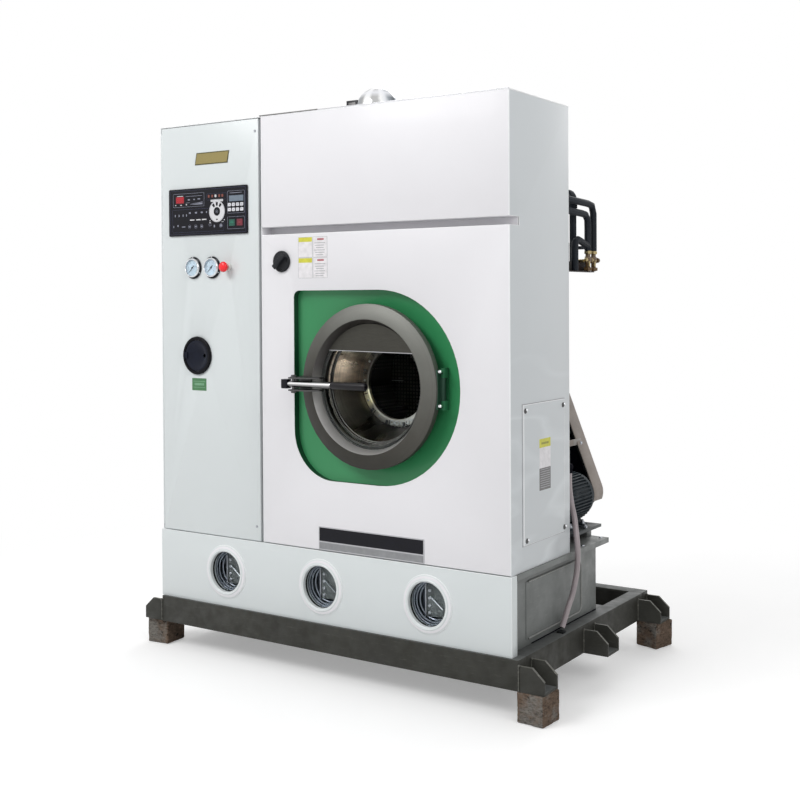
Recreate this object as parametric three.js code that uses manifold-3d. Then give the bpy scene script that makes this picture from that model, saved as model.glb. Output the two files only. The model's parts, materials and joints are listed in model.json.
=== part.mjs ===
// Dry cleaning machine on a channel frame: white cabinet with a round loading door, a control door
// on its left, a solvent tank with portholes below, and the drum's belt drive at the back.
// Millimetres. +Z is up, +X is to the operator's right, +Y goes from the front to the back.
import * as THREE from 'three';
import * as BufferGeometryUtils from 'three/addons/utils/BufferGeometryUtils.js';
import Module from 'manifold-3d';

const wasm = await Module();
wasm.setup();

// ---- Driving dimensions -------------------------------------------------------------------------

const fitGap = 0.3;              // left between a piece and its seat
const circleSteps = 36;          // facets of a large circle
const ringSteps = 48;            // facets of the loading door
const smallSteps = 16;           // facets of a small circle

// Timber blocks and channel frame
const blockHeight = 100;
const blockWidth = 100;
const blockSeats = {              // outward from the frame's side, inward from its end, turn in radians
  front_right: [46, 48, -0.07],
  front_left: [53, 70, 0.1],
  rear_right: [44, 37, -0.28],
  rear_left: [45, 60, 0.07],
};
const frameLeft = -785;
const frameRight = 820;
const frameFront = -13;
const frameRear = 1022;
const railHeight = 100;
const railFlange = 55;
const railWall = 8;
const crossMemberRear = 729;
const crossMemberDepth = 80;

// Foot brackets, welded to the outside of the side rails
const bracketReach = 94;
const bracketWidth = 94;
const bracketHeight = 83;
const bracketTopLength = 50;
const bracketNoseHeight = 44;
const bracketWall = 8;
const middleBracketY = 455;
const weldDepth = 1;

// Solvent tank, whose top sheet runs out past its walls as a deck with folded edges
const tankInset = 53;             // from the frame's right side
const tankFront = 32;
const tankRear = 665;
const tankWall = 5;
const tankPanelRelief = 3;
const tankPanelFront = 130;
const tankPanelRear = 534;
const tankPanelMargin = 24;
const deckOverhang = 27;
const deckRear = 722;
const deckHeight = 461;
const deckSheet = 4;
const deckLip = 19;

// Cabinet
const cabinetHalfWidth = 788;
const cabinetDepth = 415;
const cabinetTop = 2030;
const panelSheet = 3;
const doorSeamLeft = -281;       // right edge of the control door
const doorSeamRight = -268;      // left edge of the drum side's front panels
const grooveLow = 1594;
const grooveHigh = 1622;
const grooveDepth = 62;
const panelReturn = 30;
const partitionX = -274;

// Skirt with its three portholes
const skirtInset = 1;             // behind the deck's ends
const skirtFront = -5;
const skirtReturn = 35;
const skirtDrop = 1;              // below the deck's top
const panelGap = 3;
const portholeX = [-451, 6, 466];
const portholeZ = 331;
const portholeOpening = 76;
const portholeNeckWall = 3.7;
const portholeLip = 100;
const portholeLipDepth = 10;
const portholeGlassDepth = 15;
const portholeGlassThickness = 6;

// Opening of the lower front panel and the recessed pan behind it
const openingLeft = -115;
const openingRight = 597;
const openingBottom = 712;
const openingTop = 1389;
const openingRoundRight = 335;
const openingRoundTopLeft = 25;
const openingRoundBottomLeft = 175;
const surroundDepth = 30;
const surroundSheet = 2.5;
const surroundLap = 3;
const surroundBore = 240;

// Loading door, turned about an axis along Y
const doorX = 236;
const doorZ = 1055;
const ringRadius = 286;
const ringFront = -28;
const ringThickness = 24;
const rimRadius = 236;
const rimFront = -43;
const rimLand = 4;
const glassRadius = 218;
const glassThickness = 7;
const gasketInner = 206;
const gasketOuter = 230;

// Door hinge at the right
const hingeX = 525;
const hingeY = 8;
const hingePinRadius = 6;
const hingeLugRadius = 10;
const knuckleHalfHeight = 38;
const hingeLugHeight = 32;
const hingePlate = 6;
const hingeLeafThickness = 9;
const hingeLeafHalfHeight = 66;
const hingeLeafFront = -24;
const hingeBoltRise = 56;
const hingeBoltRadius = 4.5;
const hingeBoltLength = 13;

// Latch lever at the left
const leverZ = 1060;
const leverY = -90;
const leverPivotX = -40;
const leverPinRadius = 6;
const leverBarRadius = 11;
const leverBarLeft = -62;
const leverBarRight = 129;
const leverGripRight = 278;
const leverGripRadius = 14;
const leverBlockLeft = -88;
const leverBlockDepth = 26;
const leverBlockHeight = 33;
const clevisGap = 38;
const clevisPlate = 5;
const clevisLeft = -54;
const clevisRight = 60;
const clevisFront = -103;
const keeperGap = 24;
const keeperPlate = 5;

// Throat, outer drum and the perforated drum inside it
const throatFront = 15.6;
const throatMouth = 203;
const throatEnd = 158;
const throatSheet = 4;
const shellFront = 150;
const shellRear = 545;
const shellRadius = 345;
const shellSheet = 4;
const bearingBore = 60;
const shieldLowEdge = 1184;
const drumRadius = 300;
const drumRear = 530;
const drumSheet = 3;
const mouthRadius = 128;
const mouthCollarRadius = 154;
const mouthCollarLength = 10;
const drumConeDepth = 12;
const lifterHeight = 45;
const lifterHalfBase = 30;
const shaftRadius = 30;
const bearingFlange = 110;
const bearingHub = 62;
const bearingRear = 735;

// Belt drive
const pulleyRadius = 270;
const pulleyWidth = 45;
const pulleyFront = 765;
const pulleyRim = 12;
const motorPulleyRadius = 50;
const beltThickness = 8;
const beltGap = 0.7;
const motorX = 650;
const motorHeight = 101;          // its shaft above the slide rails
const motorShaftRadius = 14;
const motorRadius = 90;
const motorFront = 445;
const motorRear = 735;
const motorFins = 20;
const cowlLength = 55;
const bellLength = 45;
const terminalBoxFront = 540;
const terminalBoxLength = 80;
const terminalBoxReach = 34;
const guardFront = 750;
const guardDepth = 77;
const guardSheet = 3.5;
const guardClearance = 10;
const guardArmZ = 806;
const guardArmHeight = 22;
const guardArmSheet = 6;
const slideLeft = 560;
const slideRight = 765;
const slideRise = 49;             // top of the rails above the deck
const slidePlate = 10;

// Control door and what is on it
const controlDoorReturn = 18;
const controlDoorSheet = 2.5;
const controlHingeRadius = 2.7;
const controlHingeInset = 6;      // from the cabinet's side
const controlPanelLeft = -738;
const controlPanelRight = -331;
const controlPanelBottom = 1603;
const controlPanelTop = 1784;
const controlPanelDepth = 6;
const gaugeX = [-613, -515];
const gaugeZ = 1480;
const gaugeFlangeRadius = 42;
const gaugeBodyRadius = 33;
const gaugeBezelRadius = 36.5;
const gaugeBezelDepth = 14;
const gaugeDialRadius = 31;
const gaugeDialDepth = 7;
const needleLength = 24;
const stopX = -432;
const stopZ = 1480;
const stopHeadRadius = 20;
const stopStemRadius = 8;
const stopTravel = 6;
const flapX = -595;
const flapZ = 1144;
const flapRingRadius = 73;
const flapRingBore = 60;
const flapRadius = 58.5;
const flapHoleRadius = 50;

// Rotary knob and plates on the panels
const knobX = -168;
const knobZ = 1495;
const knobRadius = 39;
const knobStemRadius = 6;
const coverFront = 76;
const coverRear = 372;
const coverBottom = 545;
const coverTop = 1008;
const coverThickness = 4;

// Roof fittings
const spigotX = 128;
const spigotY = 190;
const spigotRadius = 66;
const spigotTopRadius = 40;
const spigotHeight = 85;
const spigotWall = 3;
const roofBoxWidth = 50;
const roofBoxDepth = 40;
const roofBoxHeight = 56;

// Insulated pipes, valves and drain hose behind the cabinet; each reach is from the cabinet's back
const pipeRadius = 13;
const pipeEndGap = 1.5;
const pipeX = 740;
const upperPipeTop = 1716;
const lowerPipeTop = 1676;
const pipeFall = 10;
const pipeBend = 32;
const farPipeX = 706;
const farPipeTop = 1738;
const farPipeReach = 193;
const farPipeEnd = 1477;
const sleeveRadius = 16.5;
const sleeveLength = 50;
const loopReach = 141;
const loopTop = 1578;
const loopFall = 28;
const upperClampReach = 60;
const lowerClampZ = 1543;
const clampWidth = 10;
const valveZ = 1457;
const valveHeight = 76;
const valveReach = [247, 294];
const branchRise = 42;
const branchOverhang = 16;
const bracketPlateX = 722;
const bracketPlateTop = 1558;
const bracketPlateSheet = 4;
const hoseRadius = 10;
const barbRadius = 11;
const hoseRoute = [
  [765, 40, 734.7], [765, 40, 710], [765, 41, 686], [768, 42, 655], [774, 42, 620],
  [786, 38, 578], [798, 26, 535], [808, 16, 495], [812, 12, 459], [812, 10, 425],
  [811, 5, 391], [808, -4, 355], [804, -14, 320], [800, -34, 286], [797, -50, 256],
  [793, -72, 215],
];

// ---- Values worked out from those ----------------------------------------------------------------

const frameBase = blockHeight;
const frameTop = frameBase + railHeight;
const tankHalfWidth = frameRight - tankInset;
const deckHalfWidth = tankHalfWidth + deckOverhang;
const tankTop = deckHeight - deckSheet;
const slideTop = deckHeight + slideRise;
const motorZ = slideTop + motorHeight;
const skirtTop = deckHeight - skirtDrop;
const skirtHalfWidth = deckHalfWidth - skirtInset;
const controlHingeX = controlHingeInset - cabinetHalfWidth;
const panelBottom = skirtTop + panelGap;
const innerHalfWidth = cabinetHalfWidth - panelSheet;
const roofUnderside = cabinetTop - panelSheet;
const backPanelFront = cabinetDepth - panelSheet;
const ringBack = ringFront + ringThickness;
const pulleyRear = pulleyFront + pulleyWidth;
const valveY = valveReach.map((reach) => cabinetDepth + reach);
const valveTop = valveZ + valveHeight;
const bigLoopRadius = pulleyRadius + beltThickness + guardClearance + guardSheet;
const smallLoopRadius = motorPulleyRadius + beltThickness + guardClearance + guardSheet;
const branchZ = valveZ + branchRise;
const branchEnd = valveY[1] + branchOverhang;

// Where each timber block stands and how far its turned outline reaches from its middle.
const blocks = Object.entries(blockSeats).map(([corner, [outward, inward, turn]]) => ({
  corner,
  turn,
  x: corner.endsWith('right') ? frameRight + outward : frameLeft - outward,
  y: corner.startsWith('front') ? frameFront + inward : frameRear - inward,
  reach: (blockWidth / 2) * (Math.abs(Math.cos(turn)) + Math.abs(Math.sin(turn))),
}));
const leftMost = Math.min(frameLeft - bracketReach, ...blocks.map((seat) => seat.x - seat.reach));
const rightMost = Math.max(frameRight + bracketReach, ...blocks.map((seat) => seat.x + seat.reach));
const frontMost = Math.min(leverY - leverGripRadius, clevisFront);
const rearMost = Math.max(frameRear, ...blocks.map((seat) => seat.y + seat.reach));
const originX = (leftMost + rightMost) / 2;
const originY = (frontMost + rearMost) / 2;

// ---- Materials -----------------------------------------------------------------------------------

const finish = (color, roughness, metalness) =>
  new THREE.MeshStandardMaterial({ color, roughness, metalness });
const whiteEnamel = finish(0xe4e6e6, 0.35, 0);
const greenEnamel = finish(0x3f8b5c, 0.4, 0);
const frameEnamel = finish(0x42423c, 0.55, 0);
const tankEnamel = finish(0x6e7270, 0.5, 0);
const guardEnamel = finish(0x87807a, 0.5, 0);
const motorEnamel = finish(0x323e46, 0.5, 0);
const stainless = finish(0x605e58, 0.3, 1);
const chrome = finish(0xc8cacc, 0.12, 1);
const blackPlastic = finish(0x101216, 0.4, 0);
const redPlastic = finish(0xfa1e2d, 0.3, 0);
const rubber = finish(0x24262a, 0.8, 0);
const glass = new THREE.MeshStandardMaterial({
  color: 0xdfe6e8, roughness: 0.05, metalness: 0, transparent: true, opacity: 0.35,
});
const brass = finish(0x96783c, 0.35, 1);
const galvanised = finish(0xb8bcc0, 0.35, 1);
const timber = finish(0x5f524a, 0.9, 0);
const hosePlastic = finish(0x827679, 0.4, 0);
const castIron = finish(0x4a4e50, 0.6, 0.6);

// ---- Solids --------------------------------------------------------------------------------------

// Leaves only shared positions and turns every face outward.
function closedBody(geometry) {
  const bare = geometry.index ? geometry.clone() : geometry;
  for (const name of Object.keys(bare.attributes)) {
    if (name !== 'position') bare.deleteAttribute(name);
  }
  const merged = BufferGeometryUtils.mergeVertices(bare, 1e-4);
  const place = merged.attributes.position;
  const corners = merged.index.array;
  const kept = [];
  for (let i = 0; i < corners.length; i += 3) {
    const [a, b, c] = [corners[i], corners[i + 1], corners[i + 2]];
    if (a !== b && b !== c && c !== a) kept.push(a, b, c);
  }
  const [p, q, r] = [new THREE.Vector3(), new THREE.Vector3(), new THREE.Vector3()];
  let volume = 0;
  for (let i = 0; i < kept.length; i += 3) {
    p.fromBufferAttribute(place, kept[i]);
    q.fromBufferAttribute(place, kept[i + 1]);
    r.fromBufferAttribute(place, kept[i + 2]);
    volume += p.dot(q.cross(r));
  }
  if (volume < 0) kept.reverse();
  merged.setIndex(kept);
  return merged;
}

function toSolid(geometry) {
  const body = closedBody(geometry);
  const vertProperties = Float32Array.from(body.attributes.position.array);
  const triVerts = Uint32Array.from(body.index.array);
  return new wasm.Manifold(new wasm.Mesh({ numProp: 3, vertProperties, triVerts }));
}

function fromSolid(solid) {
  const mesh = solid.getMesh();
  const geometry = new THREE.BufferGeometry();
  geometry.setAttribute('position', new THREE.BufferAttribute(mesh.vertProperties, 3));
  geometry.setIndex(new THREE.BufferAttribute(mesh.triVerts, 1));
  return geometry;
}

function join(...pieces) {
  return fromSolid(pieces.map(toSolid).reduce((whole, piece) => whole.add(piece)));
}

function cut(piece, ...tools) {
  return fromSolid(tools.map(toSolid).reduce((whole, tool) => whole.subtract(tool), toSolid(piece)));
}

function overlap(piece, other) {
  return fromSolid(toSolid(piece).intersect(toSolid(other)));
}

function block(x0, x1, y0, y1, z0, z1) {
  const box = new THREE.BoxGeometry(x1 - x0, y1 - y0, z1 - z0);
  return box.translate((x0 + x1) / 2, (y0 + y1) / 2, (z0 + z1) / 2);
}

function outline(points) {
  return new THREE.Shape(points.map(([a, b]) => new THREE.Vector2(a, b)));
}

// Prisms of a shape: along X the shape holds [y, z], along Y [x, z] and along Z [x, y].
function prismX(shape, x0, x1, curveSegments = 12) {
  const prism = new THREE.ExtrudeGeometry(shape, { depth: x1 - x0, bevelEnabled: false, curveSegments });
  return prism.applyMatrix4(new THREE.Matrix4().set(0, 0, 1, x0, 1, 0, 0, 0, 0, 1, 0, 0, 0, 0, 0, 1));
}

function prismY(shape, y0, y1, curveSegments = 12) {
  const prism = new THREE.ExtrudeGeometry(shape, { depth: y1 - y0, bevelEnabled: false, curveSegments });
  return prism.rotateX(Math.PI / 2).translate(0, y1, 0);
}

function prismZ(shape, z0, z1, curveSegments = 12) {
  const prism = new THREE.ExtrudeGeometry(shape, { depth: z1 - z0, bevelEnabled: false, curveSegments });
  return prism.translate(0, 0, z0);
}

// Turned bodies: the profile holds [radius, distance along the axis].
function turnedY(profile, steps = circleSteps) {
  return new THREE.LatheGeometry(profile.map(([r, y]) => new THREE.Vector2(r, y)), steps);
}

function turnedZ(profile, steps = circleSteps) {
  return turnedY(profile, steps).rotateX(Math.PI / 2);
}

function turnedX(profile, steps = smallSteps) {
  return turnedY(profile, steps).rotateZ(-Math.PI / 2);
}

const rodProfile = (radius, from, to) => [[0, from], [radius, from], [radius, to], [0, to]];

function rodY(radius, x, z, y0, y1, steps = smallSteps) {
  return turnedY(rodProfile(radius, y0, y1), steps).translate(x, 0, z);
}

function rodZ(radius, x, y, z0, z1, steps = smallSteps) {
  return turnedZ(rodProfile(radius, z0, z1), steps).translate(x, y, 0);
}

function rodX(radius, y, z, x0, x1, steps = smallSteps) {
  return turnedX(rodProfile(radius, x0, x1), steps).translate(0, y, z);
}

// A round bar along a smooth or bent path.
function barAlong(path, radius, steps, sides = 5) {
  const section = new THREE.Shape();
  section.absarc(0, 0, radius, 0, 2 * Math.PI);
  return new THREE.ExtrudeGeometry(section, { steps, extrudePath: path, curveSegments: sides });
}

// Straight runs joined by round bends of one radius.
function bentPath(corners, bendRadius) {
  const path = new THREE.CurvePath();
  const points = corners.map((corner) => new THREE.Vector3(...corner));
  let start = points[0];
  for (let i = 1; i < points.length - 1; i += 1) {
    const before = points[i].clone().add(start.clone().sub(points[i]).setLength(bendRadius));
    const after = points[i].clone().add(points[i + 1].clone().sub(points[i]).setLength(bendRadius));
    path.add(new THREE.LineCurve3(start, before));
    path.add(new THREE.QuadraticBezierCurve3(before, points[i], after));
    start = after;
  }
  path.add(new THREE.LineCurve3(start, points[points.length - 1]));
  return path;
}

// ---- Frame ---------------------------------------------------------------------------------------

// Channel section: distances inward from its outer face, and heights.
function channelSection(outerFace, inward) {
  const far = outerFace + inward * railFlange;
  const web = outerFace + inward * railWall;
  const low = frameBase + railWall;
  const high = frameTop - railWall;
  return outline([
    [outerFace, frameBase], [far, frameBase], [far, low], [web, low],
    [web, high], [far, high], [far, frameTop], [outerFace, frameTop],
  ]);
}

function crossRail(outerFace, inward) {
  const channel = prismX(channelSection(outerFace, inward), frameLeft, frameRight);
  const near = Math.min(outerFace, outerFace + inward * railFlange);
  const ends = [frameLeft, frameRight - railWall].map((x) =>
    block(x, x + railWall, near, near + railFlange, frameBase, frameTop));
  return join(channel, ...ends);
}

// A channel between the front and rear rails, with three foot brackets welded to its web.
function sideRail(outerFace) {
  const outward = Math.sign(outerFace);
  const front = frameFront + railFlange;
  const rear = frameRear - railFlange;
  const channel = prismY(channelSection(outerFace, -outward), front, rear);
  const places = [frameFront, middleBracketY, frameRear - bracketWidth];
  const brackets = places.map((y) => footBracket(outerFace, outward, y));
  const welds = places.map((y) => block(
    outerFace - weldDepth, outerFace + weldDepth, Math.max(front, y), Math.min(rear, y + bracketWidth),
    frameBase, frameBase + bracketWall));
  return join(channel, ...brackets, ...welds);
}

function crossMember() {
  const front = crossMemberRear - crossMemberDepth;
  const channel = outline([
    [front, frameBase], [crossMemberRear, frameBase], [crossMemberRear, frameTop], [front, frameTop],
    [front, frameTop - railWall], [crossMemberRear - railWall, frameTop - railWall],
    [crossMemberRear - railWall, frameBase + railWall], [front, frameBase + railWall],
  ]);
  return prismX(channel, frameLeft + railFlange, frameRight - railFlange);
}

// Two gussets with a chamfered nose on a base plate.
function footBracket(foot, outward, y0) {
  const nose = foot + outward * bracketReach;
  const gusset = outline([
    [foot, frameBase], [nose, frameBase], [nose, frameBase + bracketNoseHeight],
    [foot + outward * bracketTopLength, frameBase + bracketHeight], [foot, frameBase + bracketHeight],
  ]);
  const y1 = y0 + bracketWidth;
  return join(
    prismY(gusset, y0, y0 + bracketWall),
    prismY(gusset, y1 - bracketWall, y1),
    block(Math.min(foot, nose), Math.max(foot, nose), y0, y1, frameBase, frameBase + bracketWall),
  );
}

function timberBlock({ x, y, turn }) {
  const half = blockWidth / 2;
  return block(-half, half, -half, half, 0, blockHeight).rotateZ(turn).translate(x, y, 0);
}

// ---- Tank ----------------------------------------------------------------------------------------

// Three compartments, each seen into through a porthole in the front wall.
function solventTank() {
  const body = block(-tankHalfWidth, tankHalfWidth, tankFront, tankRear, frameTop, tankTop);
  const dividers = [0, 1].map((i) => (portholeX[i] + portholeX[i + 1]) / 2);
  const edges = [-tankHalfWidth + tankWall / 2, ...dividers, tankHalfWidth - tankWall / 2];
  const rooms = portholeX.map((x, i) => block(
    edges[i] + tankWall / 2, edges[i + 1] - tankWall / 2,
    tankFront + tankWall, tankRear - tankWall, frameTop + tankWall, tankTop - tankWall,
  ));
  const holes = portholeX.map((x) =>
    rodY(portholeOpening, x, portholeZ, tankFront - 1, tankFront + tankWall + 1, circleSteps));
  const hollow = cut(body, ...rooms, ...holes);
  const low = frameTop + tankPanelMargin;
  const high = tankTop - tankPanelMargin - deckLip;
  const pressings = [-1, 1].map((side) => {
    const [inner, outer] = [tankHalfWidth - tankWall / 2, tankHalfWidth + tankPanelRelief];
    const [x0, x1] = [side * inner, side * outer].sort((a, b) => a - b);
    return block(x0, x1, tankPanelFront, tankPanelRear, low, high);
  });
  return join(hollow, ...pressings, foldedDeck());
}

// The tank's top sheet, with its side and rear edges folded down.
function foldedDeck() {
  const lipBottom = deckHeight - deckLip;
  const plate = block(-deckHalfWidth, deckHalfWidth, tankFront, deckRear, lipBottom, deckHeight);
  const inside = deckHalfWidth - deckSheet;
  return cut(plate, block(-inside, inside, tankFront - 1, deckRear - deckSheet, lipBottom - 1, tankTop));
}

// ---- Cabinet -------------------------------------------------------------------------------------

function skirtPanel() {
  const back = skirtFront + skirtReturn;
  const body = block(-skirtHalfWidth, skirtHalfWidth, skirtFront, back, frameTop, skirtTop);
  const inside = skirtHalfWidth - panelSheet;
  const hollow = block(
    -inside, inside, skirtFront + panelSheet, back + 1, frameTop - 1, skirtTop - panelSheet);
  const neckMiddle = portholeOpening + portholeNeckWall / 2;
  const holes = portholeX.map((x) =>
    rodY(neckMiddle, x, portholeZ, skirtFront - 1, skirtFront + panelSheet + 1, circleSteps));
  const bezels = portholeX.map((x) => portholeBezel().translate(x, skirtFront, portholeZ));
  return join(cut(body, hollow, ...holes), ...bezels);
}

// Raised ring welded to the skirt, with a neck that reaches the tank's front wall.
function portholeBezel() {
  const neck = portholeOpening + portholeNeckWall;
  const neckEnd = tankFront - skirtFront - fitGap;
  const d = portholeLipDepth;
  const seat = panelSheet / 2;
  return turnedY([
    [portholeOpening, neckEnd], [neck, neckEnd], [neck, seat], [portholeLip, seat],
    [portholeLip, -0.3 * d], [portholeLip - 12, -0.6 * d], [portholeLip - 17, -d],
    [portholeOpening, -0.7 * d], [portholeOpening, neckEnd],
  ]);
}

function portholeGlass(x) {
  const front = skirtFront + portholeGlassDepth;
  return rodY(portholeOpening - fitGap, x, portholeZ, front, front + portholeGlassThickness, circleSteps);
}

function leftSidePanel() {
  return block(-cabinetHalfWidth, -innerHalfWidth, 0, cabinetDepth, deckHeight, roofUnderside);
}

// The finger groove between the front panels runs out through this panel's front edge.
function rightSidePanel() {
  const shape = outline([
    [0, deckHeight], [cabinetDepth, deckHeight], [cabinetDepth, roofUnderside], [0, roofUnderside],
    [0, grooveHigh], [grooveDepth, grooveHigh], [grooveDepth, grooveLow], [0, grooveLow],
  ]);
  return prismX(shape, innerHalfWidth, cabinetHalfWidth);
}

function upperFrontPanel() {
  const section = outline([
    [0, grooveHigh], [grooveDepth, grooveHigh], [grooveDepth, grooveHigh + panelSheet],
    [panelSheet, grooveHigh + panelSheet], [panelSheet, roofUnderside], [0, roofUnderside],
  ]);
  const face = prismX(section, doorSeamRight, innerHalfWidth);
  const fold = block(
    doorSeamRight, doorSeamRight + panelSheet, 0, panelReturn, grooveHigh, roofUnderside);
  return join(face, fold);
}

// Rounded outline of the panel's opening, grown by a margin.
function openingOutline(margin) {
  const shape = new THREE.Shape();
  const left = openingLeft - margin;
  const right = openingRight + margin;
  const bottom = openingBottom - margin;
  const top = openingTop + margin;
  const roundRight = openingRoundRight + margin;
  const roundTopLeft = openingRoundTopLeft + margin;
  const roundBottomLeft = openingRoundBottomLeft + margin;
  const quarter = Math.PI / 2;
  shape.moveTo(left + roundBottomLeft, bottom);
  shape.lineTo(right - roundRight, bottom);
  shape.absarc(right - roundRight, bottom + roundRight, roundRight, -quarter, 0);
  shape.lineTo(right, top - roundRight);
  shape.absarc(right - roundRight, top - roundRight, roundRight, 0, quarter);
  shape.lineTo(left + roundTopLeft, top);
  shape.absarc(left + roundTopLeft, top - roundTopLeft, roundTopLeft, quarter, 2 * quarter);
  shape.lineTo(left, bottom + roundBottomLeft);
  shape.absarc(left + roundBottomLeft, bottom + roundBottomLeft, roundBottomLeft, 2 * quarter, 3 * quarter);
  return shape;
}

function lowerFrontPanel() {
  const face = block(doorSeamRight, innerHalfWidth, 0, panelSheet, panelBottom, grooveLow);
  const shelf = block(doorSeamRight, innerHalfWidth, 0, grooveDepth, grooveLow - panelSheet, grooveLow);
  const grooveBack = block(
    doorSeamRight, innerHalfWidth, grooveDepth - panelSheet, grooveDepth, grooveLow - panelSheet, grooveHigh);
  const fold = block(doorSeamRight, doorSeamRight + panelSheet, 0, panelReturn, panelBottom, grooveLow);
  const grooveEnd = block(doorSeamRight, doorSeamRight + panelSheet, 0, grooveDepth, grooveLow, grooveHigh);
  const opening = prismY(openingOutline(0), -1, panelSheet + 1, 8);
  const stemHole = rodY(knobStemRadius + fitGap, knobX, knobZ, -1, panelSheet + 1);
  return cut(join(face, shelf, grooveBack, fold, grooveEnd), opening, stemHole);
}

function roofPanel() {
  const sheet = block(-cabinetHalfWidth, cabinetHalfWidth, 0, cabinetDepth, roofUnderside, cabinetTop);
  const bore = spigotRadius - spigotWall;
  return cut(sheet, rodZ(bore, spigotX, spigotY, roofUnderside - 1, cabinetTop + 1, circleSteps));
}

function rearPanel() {
  const sheet = block(-innerHalfWidth, innerHalfWidth, backPanelFront, cabinetDepth, deckHeight, roofUnderside);
  return cut(sheet, rodY(shellRadius + fitGap, doorX, doorZ, backPanelFront - 1, cabinetDepth + 1, circleSteps));
}

function partitionPanel() {
  return block(partitionX, partitionX + panelSheet, panelReturn + 5, backPanelFront, deckHeight, roofUnderside);
}

// Shallow green pan behind the opening, with a hole for the throat.
function doorSurround() {
  const front = panelSheet + fitGap;
  const back = surroundDepth + surroundSheet;
  return cut(
    prismY(openingOutline(surroundLap + surroundSheet), front, back, 6),
    prismY(openingOutline(surroundLap), front - 1, surroundDepth, 6),
    rodY(surroundBore, doorX, doorZ, surroundDepth - 1, back + 1, circleSteps),
  );
}

// A bevelled cover plate on the right side.
function accessCover() {
  const t = coverThickness;
  const section = outline([
    [cabinetHalfWidth, coverFront], [cabinetHalfWidth + t, coverFront + t],
    [cabinetHalfWidth + t, coverRear - t], [cabinetHalfWidth, coverRear],
  ]);
  return prismZ(section, coverBottom, coverTop);
}

// ---- Drum ----------------------------------------------------------------------------------------

// Cone from the front panel's opening to the drum, with a flange behind the gasket.
function throatCone() {
  const t = throatSheet;
  const rear = shellFront - fitGap;
  return turnedY([
    [throatMouth, throatFront], [throatEnd, rear], [throatEnd + t, rear],
    [throatMouth + t, throatFront + t + 1], [gasketOuter + 5, throatFront + t + 1],
    [gasketOuter + 5, throatFront], [throatMouth, throatFront],
  ]).translate(doorX, 0, doorZ);
}

// Outer drum, open to the throat and with a bore for the shaft.
function drumShell() {
  const t = shellSheet;
  return turnedY([
    [throatEnd, shellFront], [throatEnd, shellFront + t], [shellRadius - t, shellFront + t],
    [shellRadius - t, shellRear - t], [bearingBore, shellRear - t], [bearingBore, shellRear],
    [shellRadius, shellRear], [shellRadius, shellFront], [throatEnd, shellFront],
  ]).translate(doorX, 0, doorZ);
}

// Plate across the top of the throat, behind the glass.
function throatShield() {
  const front = throatFront + 0.4;
  const disc = rodY(throatMouth - 1.7, doorX, doorZ, front, front + panelSheet, circleSteps);
  const above = block(
    doorX - throatMouth, doorX + throatMouth, front - 1, front + panelSheet + 1,
    shieldLowEdge, doorZ + throatMouth);
  return overlap(disc, above);
}

function drumCage() {
  const t = drumSheet;
  const collarEnd = shellFront + mouthCollarLength;
  const cone = collarEnd + drumConeDepth;
  const cage = turnedY([
    [0, drumRear - t], [drumRadius - t, drumRear - t], [drumRadius - t, cone + t], [mouthRadius, collarEnd + t],
    [mouthRadius, shellFront], [mouthCollarRadius, shellFront], [mouthCollarRadius, collarEnd],
    [drumRadius, cone], [drumRadius, drumRear], [shaftRadius, drumRear], [shaftRadius, pulleyRear],
    [0, pulleyRear],
  ]);
  const rise = drumRadius - t / 2;
  const lifters = [0, 1, 2].map((i) => {
    const section = outline([
      [-lifterHalfBase, Math.sqrt(rise ** 2 - lifterHalfBase ** 2) - 1.5],
      [-lifterHalfBase / 4, rise - lifterHeight], [lifterHalfBase / 4, rise - lifterHeight],
      [lifterHalfBase, Math.sqrt(rise ** 2 - lifterHalfBase ** 2) - 1.5],
    ]);
    return prismY(section, cone + 2 * t, drumRear - t / 2).rotateY((i * 2 * Math.PI) / 3);
  });
  return join(cage, ...lifters).translate(doorX, 0, doorZ);
}

function bearingHousing() {
  const front = shellRear + fitGap;
  return turnedY([
    [shaftRadius + fitGap, front], [bearingFlange, front], [bearingFlange, front + 12],
    [bearingHub + 14, front + 16], [bearingHub, front + 60], [bearingHub, bearingRear],
    [shaftRadius + fitGap, bearingRear], [shaftRadius + fitGap, front],
  ], 24).translate(doorX, 0, doorZ);
}

function drumPulley() {
  const bore = shaftRadius + fitGap;
  const hub = shaftRadius + 25;
  const webFront = pulleyFront + pulleyWidth / 2 - 4;
  const webBack = webFront + 8;
  const rimInner = pulleyRadius - pulleyRim;
  return turnedY([
    [bore, pulleyFront], [hub, pulleyFront], [hub, webFront], [rimInner, webFront], [rimInner, pulleyFront],
    [pulleyRadius, pulleyFront], [pulleyRadius, pulleyRear], [rimInner, pulleyRear], [rimInner, webBack],
    [hub, webBack], [hub, pulleyRear], [bore, pulleyRear], [bore, pulleyFront],
  ]).translate(doorX, 0, doorZ);
}

// ---- Belt drive ----------------------------------------------------------------------------------

// Outline of a belt round the drum's circle and the motor's circle.
function loopOutline(drumCircle, motorCircle) {
  const run = Math.hypot(motorX - doorX, motorZ - doorZ);
  const heading = Math.atan2(motorZ - doorZ, motorX - doorX);
  const spread = Math.acos((drumCircle - motorCircle) / run);
  const shape = new THREE.Shape();
  shape.absarc(doorX, doorZ, drumCircle, heading + spread, heading - spread + 2 * Math.PI);
  shape.absarc(motorX, motorZ, motorCircle, heading - spread, heading + spread);
  return shape;
}

function driveBelt() {
  const outer = loopOutline(pulleyRadius + beltThickness, motorPulleyRadius + beltThickness);
  outer.holes.push(loopOutline(pulleyRadius + beltGap, motorPulleyRadius + beltGap));
  return prismY(outer, pulleyFront + 3, pulleyRear - 3, 16);
}

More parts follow.
